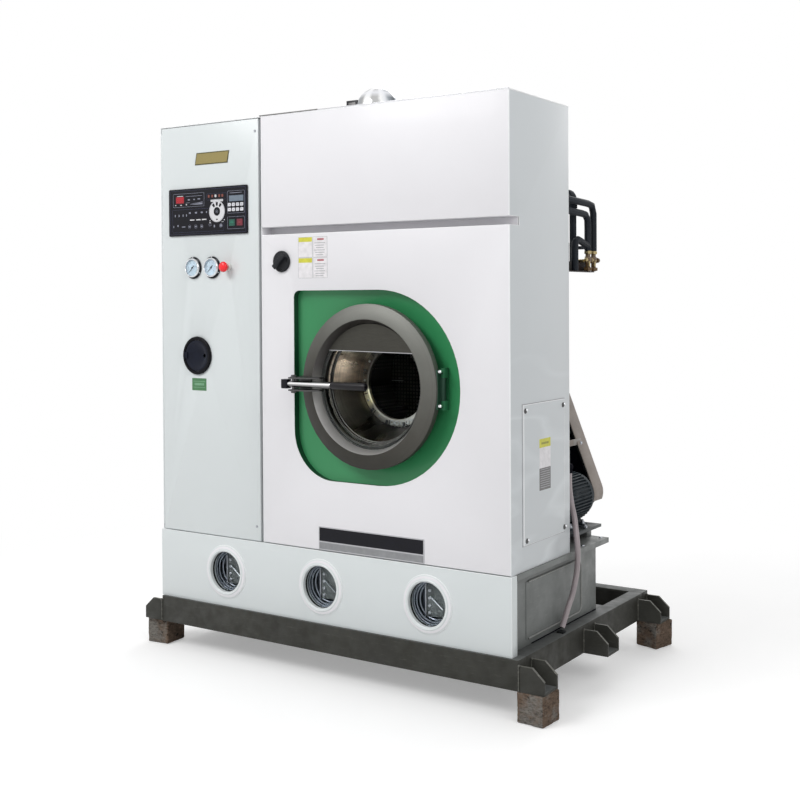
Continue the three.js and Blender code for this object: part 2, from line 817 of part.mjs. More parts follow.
function motorPulley() {
  return turnedY([
    [0, motorRear + fitGap], [motorShaftRadius, motorRear + fitGap], [motorShaftRadius, pulleyFront],
    [motorPulleyRadius, pulleyFront], [motorPulleyRadius, pulleyRear], [0, pulleyRear],
  ], smallSteps).translate(motorX, 0, motorZ);
}

// Sheet guard: a band and a back plate, open to the machine, with a flat arm to the cabinet's back.
function beltGuard() {
  const back = guardFront + guardDepth;
  const box = prismY(loopOutline(bigLoopRadius, smallLoopRadius), guardFront, back, 12);
  const inside = prismY(
    loopOutline(bigLoopRadius - guardSheet, smallLoopRadius - guardSheet), guardFront - 1, back - guardSheet, 12);
  const reach = guardBandX(guardArmZ) - guardSheet;
  const arm = block(
    reach - guardArmSheet, reach + 1, cabinetDepth, guardFront + 34,
    guardArmZ - guardArmHeight / 2, guardArmZ + guardArmHeight / 2);
  const foot = block(
    reach - 40, reach, cabinetDepth, cabinetDepth + guardArmSheet,
    guardArmZ - guardArmHeight / 2, guardArmZ + guardArmHeight / 2);
  return join(cut(box, inside), arm, foot);
}

// Where the guard's slanting outer side lies at a height.
function guardBandX(z) {
  const run = Math.hypot(motorX - doorX, motorZ - doorZ);
  const heading = Math.atan2(motorZ - doorZ, motorX - doorX);
  const angle = heading + Math.acos((bigLoopRadius - smallLoopRadius) / run);
  const [c, s] = [Math.cos(angle), Math.sin(angle)];
  const fromDrum = bigLoopRadius + doorX * c + doorZ * s;
  return (fromDrum - z * s) / c;
}

// Finned barrel with a fan cowl, end bell and feet.
function driveMotor() {
  const points = [];
  for (let i = 0; i < motorFins; i += 1) {
    const pitch = (2 * Math.PI) / motorFins;
    [[0, 1], [0.35, 1], [0.5, 0.89], [0.85, 0.89]].forEach(([turn, reach]) => {
      const angle = (i + turn) * pitch;
      points.push([reach * motorRadius * Math.cos(angle), reach * motorRadius * Math.sin(angle)]);
    });
  }
  const cowlEnd = motorFront + cowlLength;
  const barrelEnd = motorRear - bellLength;
  const barrel = prismY(outline(points), cowlEnd - 1, barrelEnd + 1);
  const cowl = turnedY([
    [0, motorFront], [motorRadius - 18, motorFront], [motorRadius, motorFront + 14], [motorRadius + 1, cowlEnd],
    [0, cowlEnd],
  ], smallSteps);
  const bell = turnedY([
    [0, barrelEnd], [motorRadius - 1, barrelEnd], [motorRadius - 4, motorRear - 18],
    [motorRadius - 34, motorRear], [0, motorRear],
  ], smallSteps);
  const footTop = -motorRadius + 22;
  const footBottom = -motorHeight;
  const feet = [cowlEnd + 30, barrelEnd - 60].map((y) =>
    block(-motorRadius + 10, motorRadius - 10, y, y + 36, footBottom, footTop));
  const box = block(
    -motorRadius - terminalBoxReach, -motorRadius + 20, terminalBoxFront, terminalBoxFront + terminalBoxLength,
    -8, 48);
  return join(barrel, cowl, bell, ...feet, box).translate(motorX, 0, motorZ);
}

function motorSlideBase() {
  const front = motorFront + 45;
  const back = motorRear - 20;
  const top = block(slideLeft, slideRight, front, back, slideTop - slidePlate, slideTop);
  const legs = [front, back - 40].map((y) =>
    block(slideLeft + 15, slideRight - 40, y, y + 40, deckHeight, slideTop - slidePlate / 2));
  return join(top, ...legs);
}

// ---- Loading door --------------------------------------------------------------------------------

// Turned ring with a cone outside and a bevel inside, and its hinge leaf, bolts and knuckle at the right.
function doorRing() {
  const seat = glassRadius + fitGap;
  const glassFront = ringBack - glassThickness;
  const ring = turnedY([
    [seat, ringBack], [ringRadius, ringBack], [ringRadius, ringFront], [rimRadius, rimFront],
    [rimRadius - rimLand, rimFront], [seat, glassFront], [seat, ringBack],
  ], ringSteps);
  const z = knuckleHalfHeight;
  const toHinge = hingeX - doorX;
  const arm = block(
    toHinge - 45, toHinge, ringBack - 4, hingeY + hingeLugRadius, -z, z);
  const barrel = rodZ(hingeLugRadius, toHinge, hingeY, -z, z);
  const bore = rodZ(hingePinRadius + fitGap, toHinge, hingeY, -z - 1, z + 1);
  const bossWell = rodY(surroundBore, 0, 0, ringBack + 0.5, surroundDepth, ringSteps);
  const leafRight = toHinge - 1;
  const leaf = block(
    leafRight - hingeLeafThickness, leafRight, hingeLeafFront, ringBack - 0.5,
    -hingeLeafHalfHeight, hingeLeafHalfHeight);
  const bolts = [-1, 1].map((side) => rodX(
    hingeBoltRadius, (hingeLeafFront + ringBack) / 2, side * hingeBoltRise,
    leafRight - 1, leafRight + hingeBoltLength, 12));
  return cut(join(ring, cut(arm, bossWell), barrel, leaf, ...bolts), bore);
}

function doorGlass() {
  return rodY(glassRadius, 0, 0, ringBack - glassThickness, ringBack, ringSteps);
}

function doorGasket() {
  const back = throatFront - fitGap;
  const front = ringBack + fitGap;
  return turnedY([
    [gasketInner, front], [gasketOuter, front], [gasketOuter, back - 6], [gasketOuter - 8, back],
    [gasketInner, back - 2], [gasketInner, front],
  ]);
}

// Fixed lugs on the pan with the door's pin between them.
function doorHinge() {
  const pinEnd = knuckleHalfHeight + fitGap + hingeLugHeight;
  const back = surroundDepth - fitGap;
  const [left, right] = [hingeX - hingeLugRadius, hingeX + hingeLugRadius];
  const pieces = [rodZ(hingePinRadius, hingeX, hingeY, doorZ - pinEnd, doorZ + pinEnd)];
  [-1, 1].forEach((side) => {
    const near = side * (knuckleHalfHeight + fitGap);
    const [z0, z1] = [doorZ + near, doorZ + side * pinEnd].sort((a, b) => a - b);
    pieces.push(rodZ(hingeLugRadius, hingeX, hingeY, z0, z1));
    pieces.push(block(left, right, hingeY, back, z0, z1));
  });
  pieces.push(block(left, right, back - hingePlate, back, doorZ - pinEnd, doorZ + pinEnd));
  return join(...pieces);
}

// Two plates welded to the ring, with the lever's vertical pin.
function latchBracket() {
  const inner = clevisGap / 2;
  const outer = inner + clevisPlate;
  const left = clevisLeft - doorX;
  const right = clevisRight - doorX;
  const pinX = leverPivotX - doorX;
  const lift = leverZ - doorZ;
  const pieces = [rodZ(leverPinRadius, pinX, leverY, lift - outer - 4, lift + outer + 4)];
  [-1, 1].forEach((side) => {
    const [z0, z1] = [lift + side * inner, lift + side * outer].sort((a, b) => a - b);
    const plate = outline([
      [left, clevisFront], [right - 30, clevisFront], [right, leverY + 20], [right, ringFront],
      [left + 16, ringFront], [left, leverY + 22],
    ]);
    pieces.push(prismZ(plate, z0, z1));
  });
  const pad = block(-ringRadius + 4, -rimRadius + 6, rimFront - 8, ringFront, lift - outer, lift + outer);
  const g = fitGap;
  const ringSpace = turnedY([
    [0, rimFront - g], [rimRadius + g, rimFront - g], [ringRadius + g, ringFront - g], [ringRadius + g, 0],
    [0, 0],
  ], ringSteps);
  return cut(join(...pieces, pad), ringSpace);
}

// Bar with a taper grip to the right and a square block to the left of the pin.
function latchLever() {
  const bar = rodX(leverBarRadius, 0, 0, leverBarLeft - leverPivotX, leverBarRight - leverPivotX + 1);
  const gripStart = leverBarRight - leverPivotX;
  const gripEnd = leverGripRight - leverPivotX;
  const grip = turnedX([
    [0, gripStart], [leverGripRadius - 2.5, gripStart], [leverGripRadius, gripEnd - 8],
    [leverGripRadius - 3, gripEnd], [0, gripEnd],
  ]);
  const blockLeft = leverBlockLeft - leverPivotX;
  const blockRight = leverBarLeft - leverPivotX + 2;
  const end = block(
    blockLeft, blockRight, -leverBlockDepth / 2, leverBlockDepth / 2, -leverBlockHeight / 2, leverBlockHeight / 2);
  const bore = rodZ(leverPinRadius + fitGap, 0, 0, -leverBarRadius - 1, leverBarRadius + 1);
  return cut(join(bar, grip, end), bore);
}

// Lugs and a pin on the pan, left of the ring.
function latchKeeper() {
  const inner = keeperGap / 2;
  const outer = inner + keeperPlate;
  const right = doorX - ringRadius - 10;
  const left = openingLeft + 8;
  const back = surroundDepth - fitGap;
  const front = ringFront - 6;
  const pieces = [block(left, right, back - 6, back, leverZ - outer - 3, leverZ + outer + 3)];
  [-1, 1].forEach((side) => {
    const [z0, z1] = [leverZ + side * inner, leverZ + side * outer].sort((a, b) => a - b);
    pieces.push(block(left + 6, right - 2, front, back, z0, z1));
  });
  pieces.push(rodZ(5, (left + right) / 2, front + 10, leverZ - outer - 2, leverZ + outer + 2, 16));
  return join(...pieces);
}

// ---- Control door --------------------------------------------------------------------------------

// Folded pan with a hinge barrel along its left edge; the places are measured from the barrel.
function controlDoor() {
  const left = 1.5;
  const right = doorSeamLeft - controlHingeX;
  const bottom = panelBottom;
  const top = roofUnderside - panelGap;
  const t = controlDoorSheet;
  const pan = cut(
    block(left, right, 0, controlDoorReturn, bottom, top),
    block(left + t, right - t, t, controlDoorReturn + 1, bottom + t, top - t),
  );
  const barrel = rodZ(controlHingeRadius, 0, 0, bottom + 20, top - 20, 12);
  const hole = (radius, x, z, steps) => rodY(radius, x - controlHingeX, z, -5, t + 1, steps);
  return cut(
    join(pan, barrel),
    ...gaugeX.map((x) => hole(gaugeBodyRadius + fitGap, x, gaugeZ, smallSteps)),
    hole(stopStemRadius + 3, stopX, stopZ, smallSteps),
    hole(flapHoleRadius, flapX, flapZ, circleSteps),
  );
}

function roundedPlate(left, right, bottom, top, corner) {
  const shape = new THREE.Shape();
  const quarter = Math.PI / 2;
  shape.absarc(right - corner, bottom + corner, corner, -quarter, 0);
  shape.absarc(right - corner, top - corner, corner, 0, quarter);
  shape.absarc(left + corner, top - corner, corner, quarter, 2 * quarter);
  shape.absarc(left + corner, bottom + corner, corner, 2 * quarter, 3 * quarter);
  return shape;
}

function controlPanel() {
  const shape = roundedPlate(controlPanelLeft, controlPanelRight, controlPanelBottom, controlPanelTop, 5);
  return prismY(shape, -controlPanelDepth - fitGap, -fitGap, 3);
}

// Flange, bezel, sunk dial and the body behind the panel.
function pressureGauge() {
  return turnedY([
    [0, 30], [gaugeBodyRadius, 30], [gaugeBodyRadius, -fitGap], [gaugeFlangeRadius, -fitGap],
    [gaugeFlangeRadius, -4], [gaugeBezelRadius, -4], [gaugeBezelRadius, -gaugeBezelDepth + 2],
    [gaugeBezelRadius - 2.5, -gaugeBezelDepth], [gaugeDialRadius, -gaugeBezelDepth],
    [gaugeDialRadius, -gaugeDialDepth], [0, -gaugeDialDepth],
  ], smallSteps);
}

// At rest the tip points down to the left, at the dial's zero.
function gaugeNeedle() {
  const back = -gaugeDialDepth - fitGap;
  const pointer = outline([[-11, -1.8], [needleLength, -0.5], [needleLength, 0.5], [-11, 1.8]]);
  const hub = rodY(3.5, 0, 0, back - 2, back, 16);
  return join(prismY(pointer, back - 1.2, back), hub).rotateY(-Math.PI * 1.25);
}

function stopCollar() {
  const bore = stopStemRadius + fitGap;
  return turnedY([
    [bore, 25], [bore + 2, 25], [bore + 2, -fitGap], [16, -fitGap], [16, -11], [14, -13], [bore, -13], [bore, 25],
  ], smallSteps);
}

function stopButton() {
  const back = -13 - stopTravel - 5;
  return turnedY([
    [0, back - 15], [stopHeadRadius - 8, back - 14], [stopHeadRadius - 2, back - 10], [stopHeadRadius, back - 6],
    [stopHeadRadius, back - 2], [stopHeadRadius - 3, back], [stopStemRadius, back], [stopStemRadius, 22 - stopTravel],
    [0, 22 - stopTravel],
  ].reverse(), smallSteps);
}

function flapRing() {
  return turnedY([
    [flapRingBore, -fitGap], [flapRingRadius, -fitGap], [flapRingRadius, -6], [flapRingRadius - 3, -9],
    [flapRingBore, -9], [flapRingBore, -fitGap],
  ], 32);
}

// Dished disc with a finger hole, a tab and a hinge barrel in front of the ring.
function inspectionFlap() {
  const disc = turnedY([
    [0, -4], [flapRadius - 14, -4], [flapRadius - 8, -7], [flapRadius, -7], [flapRadius, -3],
    [flapRadius - 8, -3], [flapRadius - 13, -1.5], [0, -1.5],
  ], 32);
  const fingerHole = rodY(7, flapRadius - 20, 0, -10, 1, 16);
  const axisX = -flapRingBore - 0.3;
  const axisY = -11.5;
  const tab = block(axisX, -flapRadius + 12, -11, -9.4, -12, 12);
  const stem = block(-flapRadius + 3, -flapRadius + 12, -11, -5, -12, 12);
  const barrel = rodZ(2, axisX, axisY, -15, 15, 12);
  return join(cut(disc, fingerHole), tab, stem, barrel);
}

// ---- Small fittings ------------------------------------------------------------------------------

// Round plate with a diagonal grip bar and a stem through the panel.
function rotaryKnob() {
  const plate = turnedY([
    [0, 15], [knobStemRadius, 15], [knobStemRadius, -0.6], [knobRadius, -0.6], [knobRadius, -6],
    [knobRadius - 3, -9], [0, -9],
  ], 32);
  const bar = block(-32, 32, -25, -8, -9, 9).rotateY(-Math.PI / 4);
  return join(plate, bar);
}

// Spigot on the roof, drawn in to a narrower open mouth.
function ductSpigot() {
  const w = spigotWall;
  const base = cabinetTop + fitGap;
  const shoulder = base + 0.35 * spigotHeight;
  const top = base + spigotHeight;
  return turnedZ([
    [spigotRadius - w, base], [spigotRadius + 12, base], [spigotRadius + 12, base + w], [spigotRadius, base + w],
    [spigotRadius, shoulder], [spigotRadius - 6, shoulder + 24], [spigotRadius - 16, shoulder + 44],
    [spigotTopRadius, top], [spigotTopRadius - w, top], [spigotRadius - 16 - w, shoulder + 42],
    [spigotRadius - 6 - w, shoulder + 22], [spigotRadius - w, shoulder], [spigotRadius - w, base],
  ], 24).translate(spigotX, spigotY, 0);
}

function roofBox() {
  const right = spigotX - spigotRadius - 14;
  const front = spigotY - roofBoxDepth / 2;
  return block(right - roofBoxWidth, right, front, front + roofBoxDepth, cabinetTop, cabinetTop + roofBoxHeight);
}

// Two pipes to the valves, a third with a thick elbow behind them, and a loop into the second pipe.
function insulatedPipes() {
  const start = cabinetDepth + pipeEndGap;
  const end = valveTop + fitGap;
  const farY = cabinetDepth + farPipeReach;
  const bent = (bend, ...corners) => bentPath(corners, bend);
  const upper = bent(
    pipeBend, [pipeX, start, upperPipeTop], [pipeX, valveY[1], upperPipeTop - pipeFall], [pipeX, valveY[1], end]);
  const lower = bent(
    pipeBend, [pipeX, start, lowerPipeTop], [pipeX, valveY[0], lowerPipeTop - pipeFall], [pipeX, valveY[0], end]);
  const far = bent(
    pipeBend, [farPipeX, start, farPipeTop], [farPipeX, farY, farPipeTop], [farPipeX, farY, farPipeEnd]);
  const sleeve = bent(
    pipeBend, [farPipeX, farY - sleeveLength, farPipeTop], [farPipeX, farY, farPipeTop],
    [farPipeX, farY, farPipeTop - sleeveLength]);
  const loopY = cabinetDepth + loopReach;
  const loop = bent(
    pipeBend, [pipeX, loopY, valveZ + fitGap], [pipeX, loopY, loopTop], [pipeX, valveY[0], loopTop - loopFall]);
  const clampY = cabinetDepth + upperClampReach;
  const upperClamp = block(
    farPipeX, pipeX, clampY - clampWidth / 2, clampY + clampWidth / 2, lowerPipeTop - pipeRadius, farPipeTop);
  const lowerClamp = block(
    farPipeX, pipeX, farY - clampWidth / 2, valveY[0], lowerClampZ - clampWidth / 2, lowerClampZ + clampWidth / 2);
  return join(
    barAlong(upper, pipeRadius, 13), barAlong(lower, pipeRadius, 13), barAlong(far, pipeRadius, 13),
    barAlong(sleeve, sleeveRadius, 8), barAlong(loop, pipeRadius, 10), upperClamp, lowerClamp,
  );
}

// Angle bracket from the cabinet's back that carries the valves on its flange.
function valveBracket() {
  const end = valveY[1];
  const t = bracketPlateSheet;
  const flange = block(bracketPlateX, pipeX + t, cabinetDepth, end, valveZ - t, valveZ);
  const web = block(bracketPlateX, bracketPlateX + t, cabinetDepth, cabinetDepth + loopReach - pipeRadius - t,
    valveZ - t, bracketPlateTop);
  return join(flange, web);
}

// Two valve bodies on one cross branch.
function brassValves() {
  const first = valveY[0];
  return join(
    ...valveY.map((y) => rodZ(9, pipeX, y, valveZ, valveTop, 12)),
    ...valveY.map((y) => rodZ(12, pipeX, y, branchZ - 12, branchZ + 12, 6)),
    rodY(7, pipeX, branchZ, first - branchOverhang, branchEnd, 12),
  );
}

// Hand knob on the rear end of the branch, placed from the branch's axis.
function valveKnob() {
  return join(rodY(4, 0, 0, 0, 14, 12), rodY(10, 0, 0, 10, 22, 12));
}

// Elbow from the cabinet's back to the end of the hose.
function hoseBarb() {
  const [x, reach, z] = hoseRoute[0];
  const y = cabinetDepth + reach;
  const top = z + fitGap;
  return join(
    rodZ(barbRadius, x, y, top, top + 30, 16),
    rodY(barbRadius, x, top + 22, cabinetDepth + fitGap, y + barbRadius, 16),
    rodY(barbRadius + 7, x, top + 22, cabinetDepth + fitGap, cabinetDepth + 8, 16),
  );
}

function drainHose() {
  const points = hoseRoute.map(([x, reach, z]) => new THREE.Vector3(x, cabinetDepth + reach, z));
  return barAlong(new THREE.CatmullRomCurve3(points), hoseRadius, 26, 4);
}

// ---- Assembly ------------------------------------------------------------------------------------

function piece(name, geometry, material, parent) {
  const body = closedBody(geometry);
  body.computeVertexNormals();
  const mesh = new THREE.Mesh(body, material);
  mesh.name = name;
  parent.add(mesh);
  return mesh;
}

function groupAt(x, y, z, parent) {
  const group = new THREE.Group();
  group.position.set(x, y, z);
  parent.add(group);
  return group;
}

const machine = new THREE.Group();
const base = groupAt(-originX, -originY, 0, machine);

piece('frame_front_rail', crossRail(frameFront, 1), frameEnamel, base);
piece('frame_rear_rail', crossRail(frameRear, -1), frameEnamel, base);
piece('frame_left_rail', sideRail(frameLeft), frameEnamel, base);
piece('frame_right_rail', sideRail(frameRight), frameEnamel, base);
piece('frame_cross_member', crossMember(), frameEnamel, base);
blocks.forEach((seat) => {
  piece(`timber_block_${seat.corner}`, timberBlock(seat), timber, base);
});

piece('solvent_tank', solventTank(), tankEnamel, base);
piece('skirt_panel', skirtPanel(), whiteEnamel, base);
['left', 'centre', 'right'].forEach((side, i) => {
  piece(`porthole_glass_${side}`, portholeGlass(portholeX[i]), glass, base);
});

piece('left_side_panel', leftSidePanel(), whiteEnamel, base);
piece('right_side_panel', rightSidePanel(), whiteEnamel, base);
piece('upper_front_panel', upperFrontPanel(), whiteEnamel, base);
piece('lower_front_panel', lowerFrontPanel(), whiteEnamel, base);
piece('roof_panel', roofPanel(), whiteEnamel, base);
piece('rear_panel', rearPanel(), whiteEnamel, base);
piece('partition_panel', partitionPanel(), galvanised, base);
piece('door_surround', doorSurround(), greenEnamel, base);
piece('access_cover', accessCover(), whiteEnamel, base);

piece('throat_cone', throatCone(), stainless, base);
piece('drum_shell', drumShell(), stainless, base);
piece('throat_shield', throatShield(), stainless, base);
piece('bearing_housing', bearingHousing(), castIron, base);
piece('drum_cage', drumCage(), stainless, base);
piece('drum_pulley', drumPulley(), castIron, base);

piece('drive_belt', driveBelt(), rubber, base);
piece('motor_pulley', motorPulley(), castIron, base);
piece('belt_guard', beltGuard(), guardEnamel, base);
piece('drive_motor', driveMotor(), motorEnamel, base);
piece('motor_slide_base', motorSlideBase(), tankEnamel, base);

const loadingDoor = groupAt(doorX, 0, doorZ, base);
piece('door_ring', doorRing(), stainless, loadingDoor);
piece('door_glass', doorGlass(), glass, loadingDoor);
piece('door_gasket', doorGasket(), rubber, loadingDoor);
piece('latch_bracket', latchBracket(), stainless, loadingDoor);
const leverPlace = groupAt(leverPivotX, leverY, leverZ, base);
piece('latch_lever', latchLever(), chrome, leverPlace);
piece('door_hinge', doorHinge(), stainless, base);
piece('latch_keeper', latchKeeper(), stainless, base);

const controlDoorPlace = groupAt(controlHingeX, 0, 0, base);
piece('control_door', controlDoor(), whiteEnamel, controlDoorPlace);
piece('control_panel', controlPanel(), blackPlastic, base);
['left', 'right'].forEach((side, i) => {
  const place = groupAt(gaugeX[i], 0, gaugeZ, base);
  piece(`pressure_gauge_${side}`, pressureGauge(), blackPlastic, place);
  piece(`gauge_needle_${side}`, gaugeNeedle(), blackPlastic, place);
});
const stopPlace = groupAt(stopX, 0, stopZ, base);
piece('emergency_stop_collar', stopCollar(), whiteEnamel, stopPlace);
piece('emergency_stop_button', stopButton(), redPlastic, stopPlace);
const flapPlace = groupAt(flapX, 0, flapZ, base);
piece('flap_ring', flapRing(), blackPlastic, flapPlace);
piece('inspection_flap', inspectionFlap(), blackPlastic, flapPlace);
piece('rotary_knob', rotaryKnob(), blackPlastic, groupAt(knobX, 0, knobZ, base));

piece('duct_spigot', ductSpigot(), galvanised, base);
piece('roof_box', roofBox(), blackPlastic, base);
piece('insulated_pipes', insulatedPipes(), rubber, base);
piece('valve_bracket', valveBracket(), blackPlastic, base);
piece('brass_valves', brassValves(), brass, base);
piece('valve_knob', valveKnob(), blackPlastic, groupAt(pipeX, branchEnd + fitGap, branchZ, base));
piece('hose_barb', hoseBarb(), galvanised, base);
piece('drain_hose', drainHose(), hosePlastic, base);

export default machine;
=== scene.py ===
import json
import math

import bmesh
import bpy
import mathutils
from mathutils import Matrix, Vector

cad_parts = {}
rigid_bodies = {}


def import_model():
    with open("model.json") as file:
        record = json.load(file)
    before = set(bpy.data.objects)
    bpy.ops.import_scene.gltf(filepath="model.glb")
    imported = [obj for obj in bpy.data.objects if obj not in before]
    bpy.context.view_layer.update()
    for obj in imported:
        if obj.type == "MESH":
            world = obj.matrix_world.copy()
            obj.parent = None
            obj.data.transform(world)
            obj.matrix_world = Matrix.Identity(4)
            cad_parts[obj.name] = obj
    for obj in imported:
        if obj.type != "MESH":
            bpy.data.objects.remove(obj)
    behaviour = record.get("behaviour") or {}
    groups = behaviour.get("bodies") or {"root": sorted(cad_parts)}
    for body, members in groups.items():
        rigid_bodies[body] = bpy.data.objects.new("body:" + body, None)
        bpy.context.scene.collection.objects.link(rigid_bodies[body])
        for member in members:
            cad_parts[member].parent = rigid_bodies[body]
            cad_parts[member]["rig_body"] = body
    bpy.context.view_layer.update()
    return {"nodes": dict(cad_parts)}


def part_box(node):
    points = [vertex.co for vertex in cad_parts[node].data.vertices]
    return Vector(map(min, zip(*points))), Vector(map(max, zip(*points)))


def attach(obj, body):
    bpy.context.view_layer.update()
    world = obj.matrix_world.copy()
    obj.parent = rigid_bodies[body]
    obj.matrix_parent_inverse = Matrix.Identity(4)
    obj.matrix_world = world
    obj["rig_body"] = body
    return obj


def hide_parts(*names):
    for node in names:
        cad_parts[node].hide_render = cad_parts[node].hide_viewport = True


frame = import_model()
cadNodes = frame["nodes"]

# Places below are millimetres from the middle of the cabinet's front, on the ground.
middleX = (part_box("left_side_panel")[0].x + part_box("right_side_panel")[1].x) / 2
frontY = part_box("lower_front_panel")[0].y
doorCentre = (Vector(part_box("door_glass")[0]) + Vector(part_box("door_glass")[1])) / 2


def at(x, y, z):
    return Vector((middleX + x / 1000, frontY + y / 1000, z / 1000))


cameraView = {
    "place": (2626, -3180, 1354),
    "turn": 31.53,       # degrees to the left of straight back
    "drop": 0.79,        # degrees below level
    "roll": 0.27,
    "lens": 51.6,
    "film": 36,
    "shift": (-0.1, -0.106),
    "farthest": 60,      # metres
}


def makeCamera():
    data = bpy.data.cameras.new("camera")
    data.lens = cameraView["lens"]
    data.sensor_width = cameraView["film"]
    data.shift_x, data.shift_y = cameraView["shift"]
    data.clip_end = cameraView["farthest"]
    camera = bpy.data.objects.new("camera", data)
    bpy.context.scene.collection.objects.link(camera)
    turn = Matrix.Rotation(math.radians(cameraView["turn"]), 4, "Z")
    drop = Matrix.Rotation(math.radians(90 - cameraView["drop"]), 4, "X")
    roll = Matrix.Rotation(math.radians(-cameraView["roll"]), 4, "Z")
    camera.matrix_world = Matrix.Translation(at(*cameraView["place"])) @ turn @ drop @ roll
    bpy.context.scene.camera = camera
    bpy.context.scene.view_settings.view_transform = "Standard"


makeCamera()
print("camera set")


def newMaterial(name, color, roughness=0.5, metallic=0.0):
    material = bpy.data.materials.new(name)
    material.use_nodes = True
    shader = material.node_tree.nodes["Principled BSDF"]
    shader.inputs["Base Color"].default_value = (*color, 1)
    shader.inputs["Roughness"].default_value = roughness
    shader.inputs["Metallic"].default_value = metallic
    return material, material.node_tree, shader


def addNode(tree, kind, **values):
    node = tree.nodes.new(kind)
    for key, value in values.items():
        if hasattr(node, key):
            setattr(node, key, value)
        else:
            node.inputs[key.replace("_", " ")].default_value = value
    return node


def coords(tree, scale=(1, 1, 1)):
    spot = addNode(tree, "ShaderNodeTexCoord")
    mapping = addNode(tree, "ShaderNodeMapping")
    mapping.inputs["Scale"].default_value = scale
    tree.links.new(spot.outputs["Object"], mapping.inputs["Vector"])
    return mapping.outputs["Vector"]


def split(tree, vector):
    node = addNode(tree, "ShaderNodeSeparateXYZ")
    tree.links.new(vector, node.inputs["Vector"])
    return node.outputs


def combined(tree, x, y):
    node = addNode(tree, "ShaderNodeCombineXYZ")
    tree.links.new(x, node.inputs["X"])
    tree.links.new(y, node.inputs["Y"])
    return node.outputs["Vector"]


def vectorLength(tree, vector):
    node = addNode(tree, "ShaderNodeVectorMath", operation="LENGTH")
    tree.links.new(vector, node.inputs[0])
    return node.outputs["Value"]


# The way a face looks, in the object's own axes.
def facing(tree):
    return split(tree, addNode(tree, "ShaderNodeTexCoord").outputs["Normal"])


def noise(tree, vector, scale, detail=3.0, roughness=0.5):
    node = addNode(tree, "ShaderNodeTexNoise", Scale=scale, Detail=detail, Roughness=roughness)
    tree.links.new(vector, node.inputs["Vector"])
    return node.outputs["Fac"]


def ramp(tree, value, stops):
    node = addNode(tree, "ShaderNodeValToRGB")
    band = node.color_ramp
    while len(band.elements) < len(stops):
        band.elements.new(0.5)
    for element, (place, color) in zip(band.elements, stops):
        element.position = place
        element.color = (*color, 1) if len(color) == 3 else color
    tree.links.new(value, node.inputs["Fac"])
    return node.outputs["Color"]


def gray(value):
    return (value, value, value)


def maths(tree, operation, first, second):
    node = addNode(tree, "ShaderNodeMath", operation=operation)
    for socket, value in zip(node.inputs, (first, second)):
        if isinstance(value, (int, float)):
            socket.default_value = value
        else:
            tree.links.new(value, socket)
    return node.outputs["Value"]


def mixColors(tree, factor, first, second, blend="MIX"):
    node = addNode(tree, "ShaderNodeMix", data_type="RGBA", blend_type=blend)
    sockets = [s for s in node.inputs if s.enabled]
    for socket, value in zip(sockets, (factor, first, second)):
        if isinstance(value, (int, float)):
            socket.default_value = value
        elif isinstance(value, tuple):
            socket.default_value = (*value, 1)
        else:
            tree.links.new(value, socket)
    return next(s for s in node.outputs if s.enabled)


def colorOn(tree, shader, color):
    tree.links.new(color, shader.inputs["Base Color"])


# Roughness that follows a value: low and high are (place on the ramp, roughness).
def roughOn(tree, shader, value, low, high):
    rough = ramp(tree, value, [(place, gray(level)) for place, level in (low, high)])
    tree.links.new(rough, shader.inputs["Roughness"])


def bumpOn(tree, shader, height, strength, distance):
    node = addNode(tree, "ShaderNodeBump", Strength=strength, Distance=distance)
    tree.links.new(height, node.inputs["Height"])
    tree.links.new(node.outputs["Normal"], shader.inputs["Normal"])
    return node


def tint(color, factor):
    return tuple(min(1, part * factor) for part in color)


# Sprayed and baked enamel: a slight coat, faint clouds and a fine peel.
def enamel(name, color, roughness=0.3, patches=0.04, peel=0.05):
    material, tree, shader = newMaterial(name, color, roughness)
    shader.inputs["Coat Weight"].default_value = 0.12
    shader.inputs["Coat Roughness"].default_value = 0.12
    shader.inputs["Specular IOR Level"].default_value = 0.4
    place = coords(tree)
    cloudy = noise(tree, place, 1.7, 4)
    shade = ramp(tree, cloudy, [(0.3, tint(color, 1 - patches)), (0.7, tint(color, 1 + patches))])
    colorOn(tree, shader, shade)
    roughOn(tree, shader, noise(tree, place, 3, 2), (0.2, roughness * 0.94), (0.8, roughness * 1.06))
    bumpOn(tree, shader, noise(tree, place, 260, 2), peel, 0.0006)
    return material


# White side sheets, with painted pale wavy reflections of a thin sheet in their lower half and painted shade low
# down.
def wavySheet(name, color):
    material = enamel(name, color, 0.3, 0.02)
    tree = material.node_tree
    shader = tree.nodes["Principled BSDF"]
    face = shader.inputs["Base Color"].links[0].from_socket
    level = noise(tree, coords(tree, (1, 0.9, 3.4)), 1.6, 2, 0.35)
    wave = ramp(tree, level, [
        (0.36, gray(0)), (0.4, gray(0.4)), (0.43, gray(0)), (0.52, gray(0)), (0.55, gray(0.5)), (0.6, gray(0)),
    ])
    height = maths(tree, "MULTIPLY", split(tree, coords(tree))["Z"], 0.5)    # 1 at two metres up
    low = ramp(tree, height, [(0.5, gray(0.8)), (0.62, gray(0.0))])
    # Painted shade: the sheet is darker towards the bottom.
    lowShade = ramp(tree, height, [(0.2, gray(0.87)), (0.95, gray(1.0))])
    body = mixColors(tree, 1, face, lowShade, "MULTIPLY")
    waved = mixColors(tree, mixColors(tree, 1, wave, low, "MULTIPLY"), body, tint(color, 1.12))
    colorOn(tree, shader, waved)
    return material


# Green paint of the pressed pan, with painted shade, nearly black, on the walls where it turns in.
def panEnamel(name, color, wallShade):
    material = enamel(name, color, 0.4, 0.08, 0.08)
    tree = material.node_tree
    shader = tree.nodes["Principled BSDF"]
    face = shader.inputs["Base Color"].links[0].from_socket
    flat = ramp(tree, maths(tree, "ABSOLUTE", facing(tree)["Y"], 0), [(0.15, gray(0)), (0.7, gray(1))])
    colorOn(tree, shader, mixColors(tree, flat, wallShade, face))
    return material


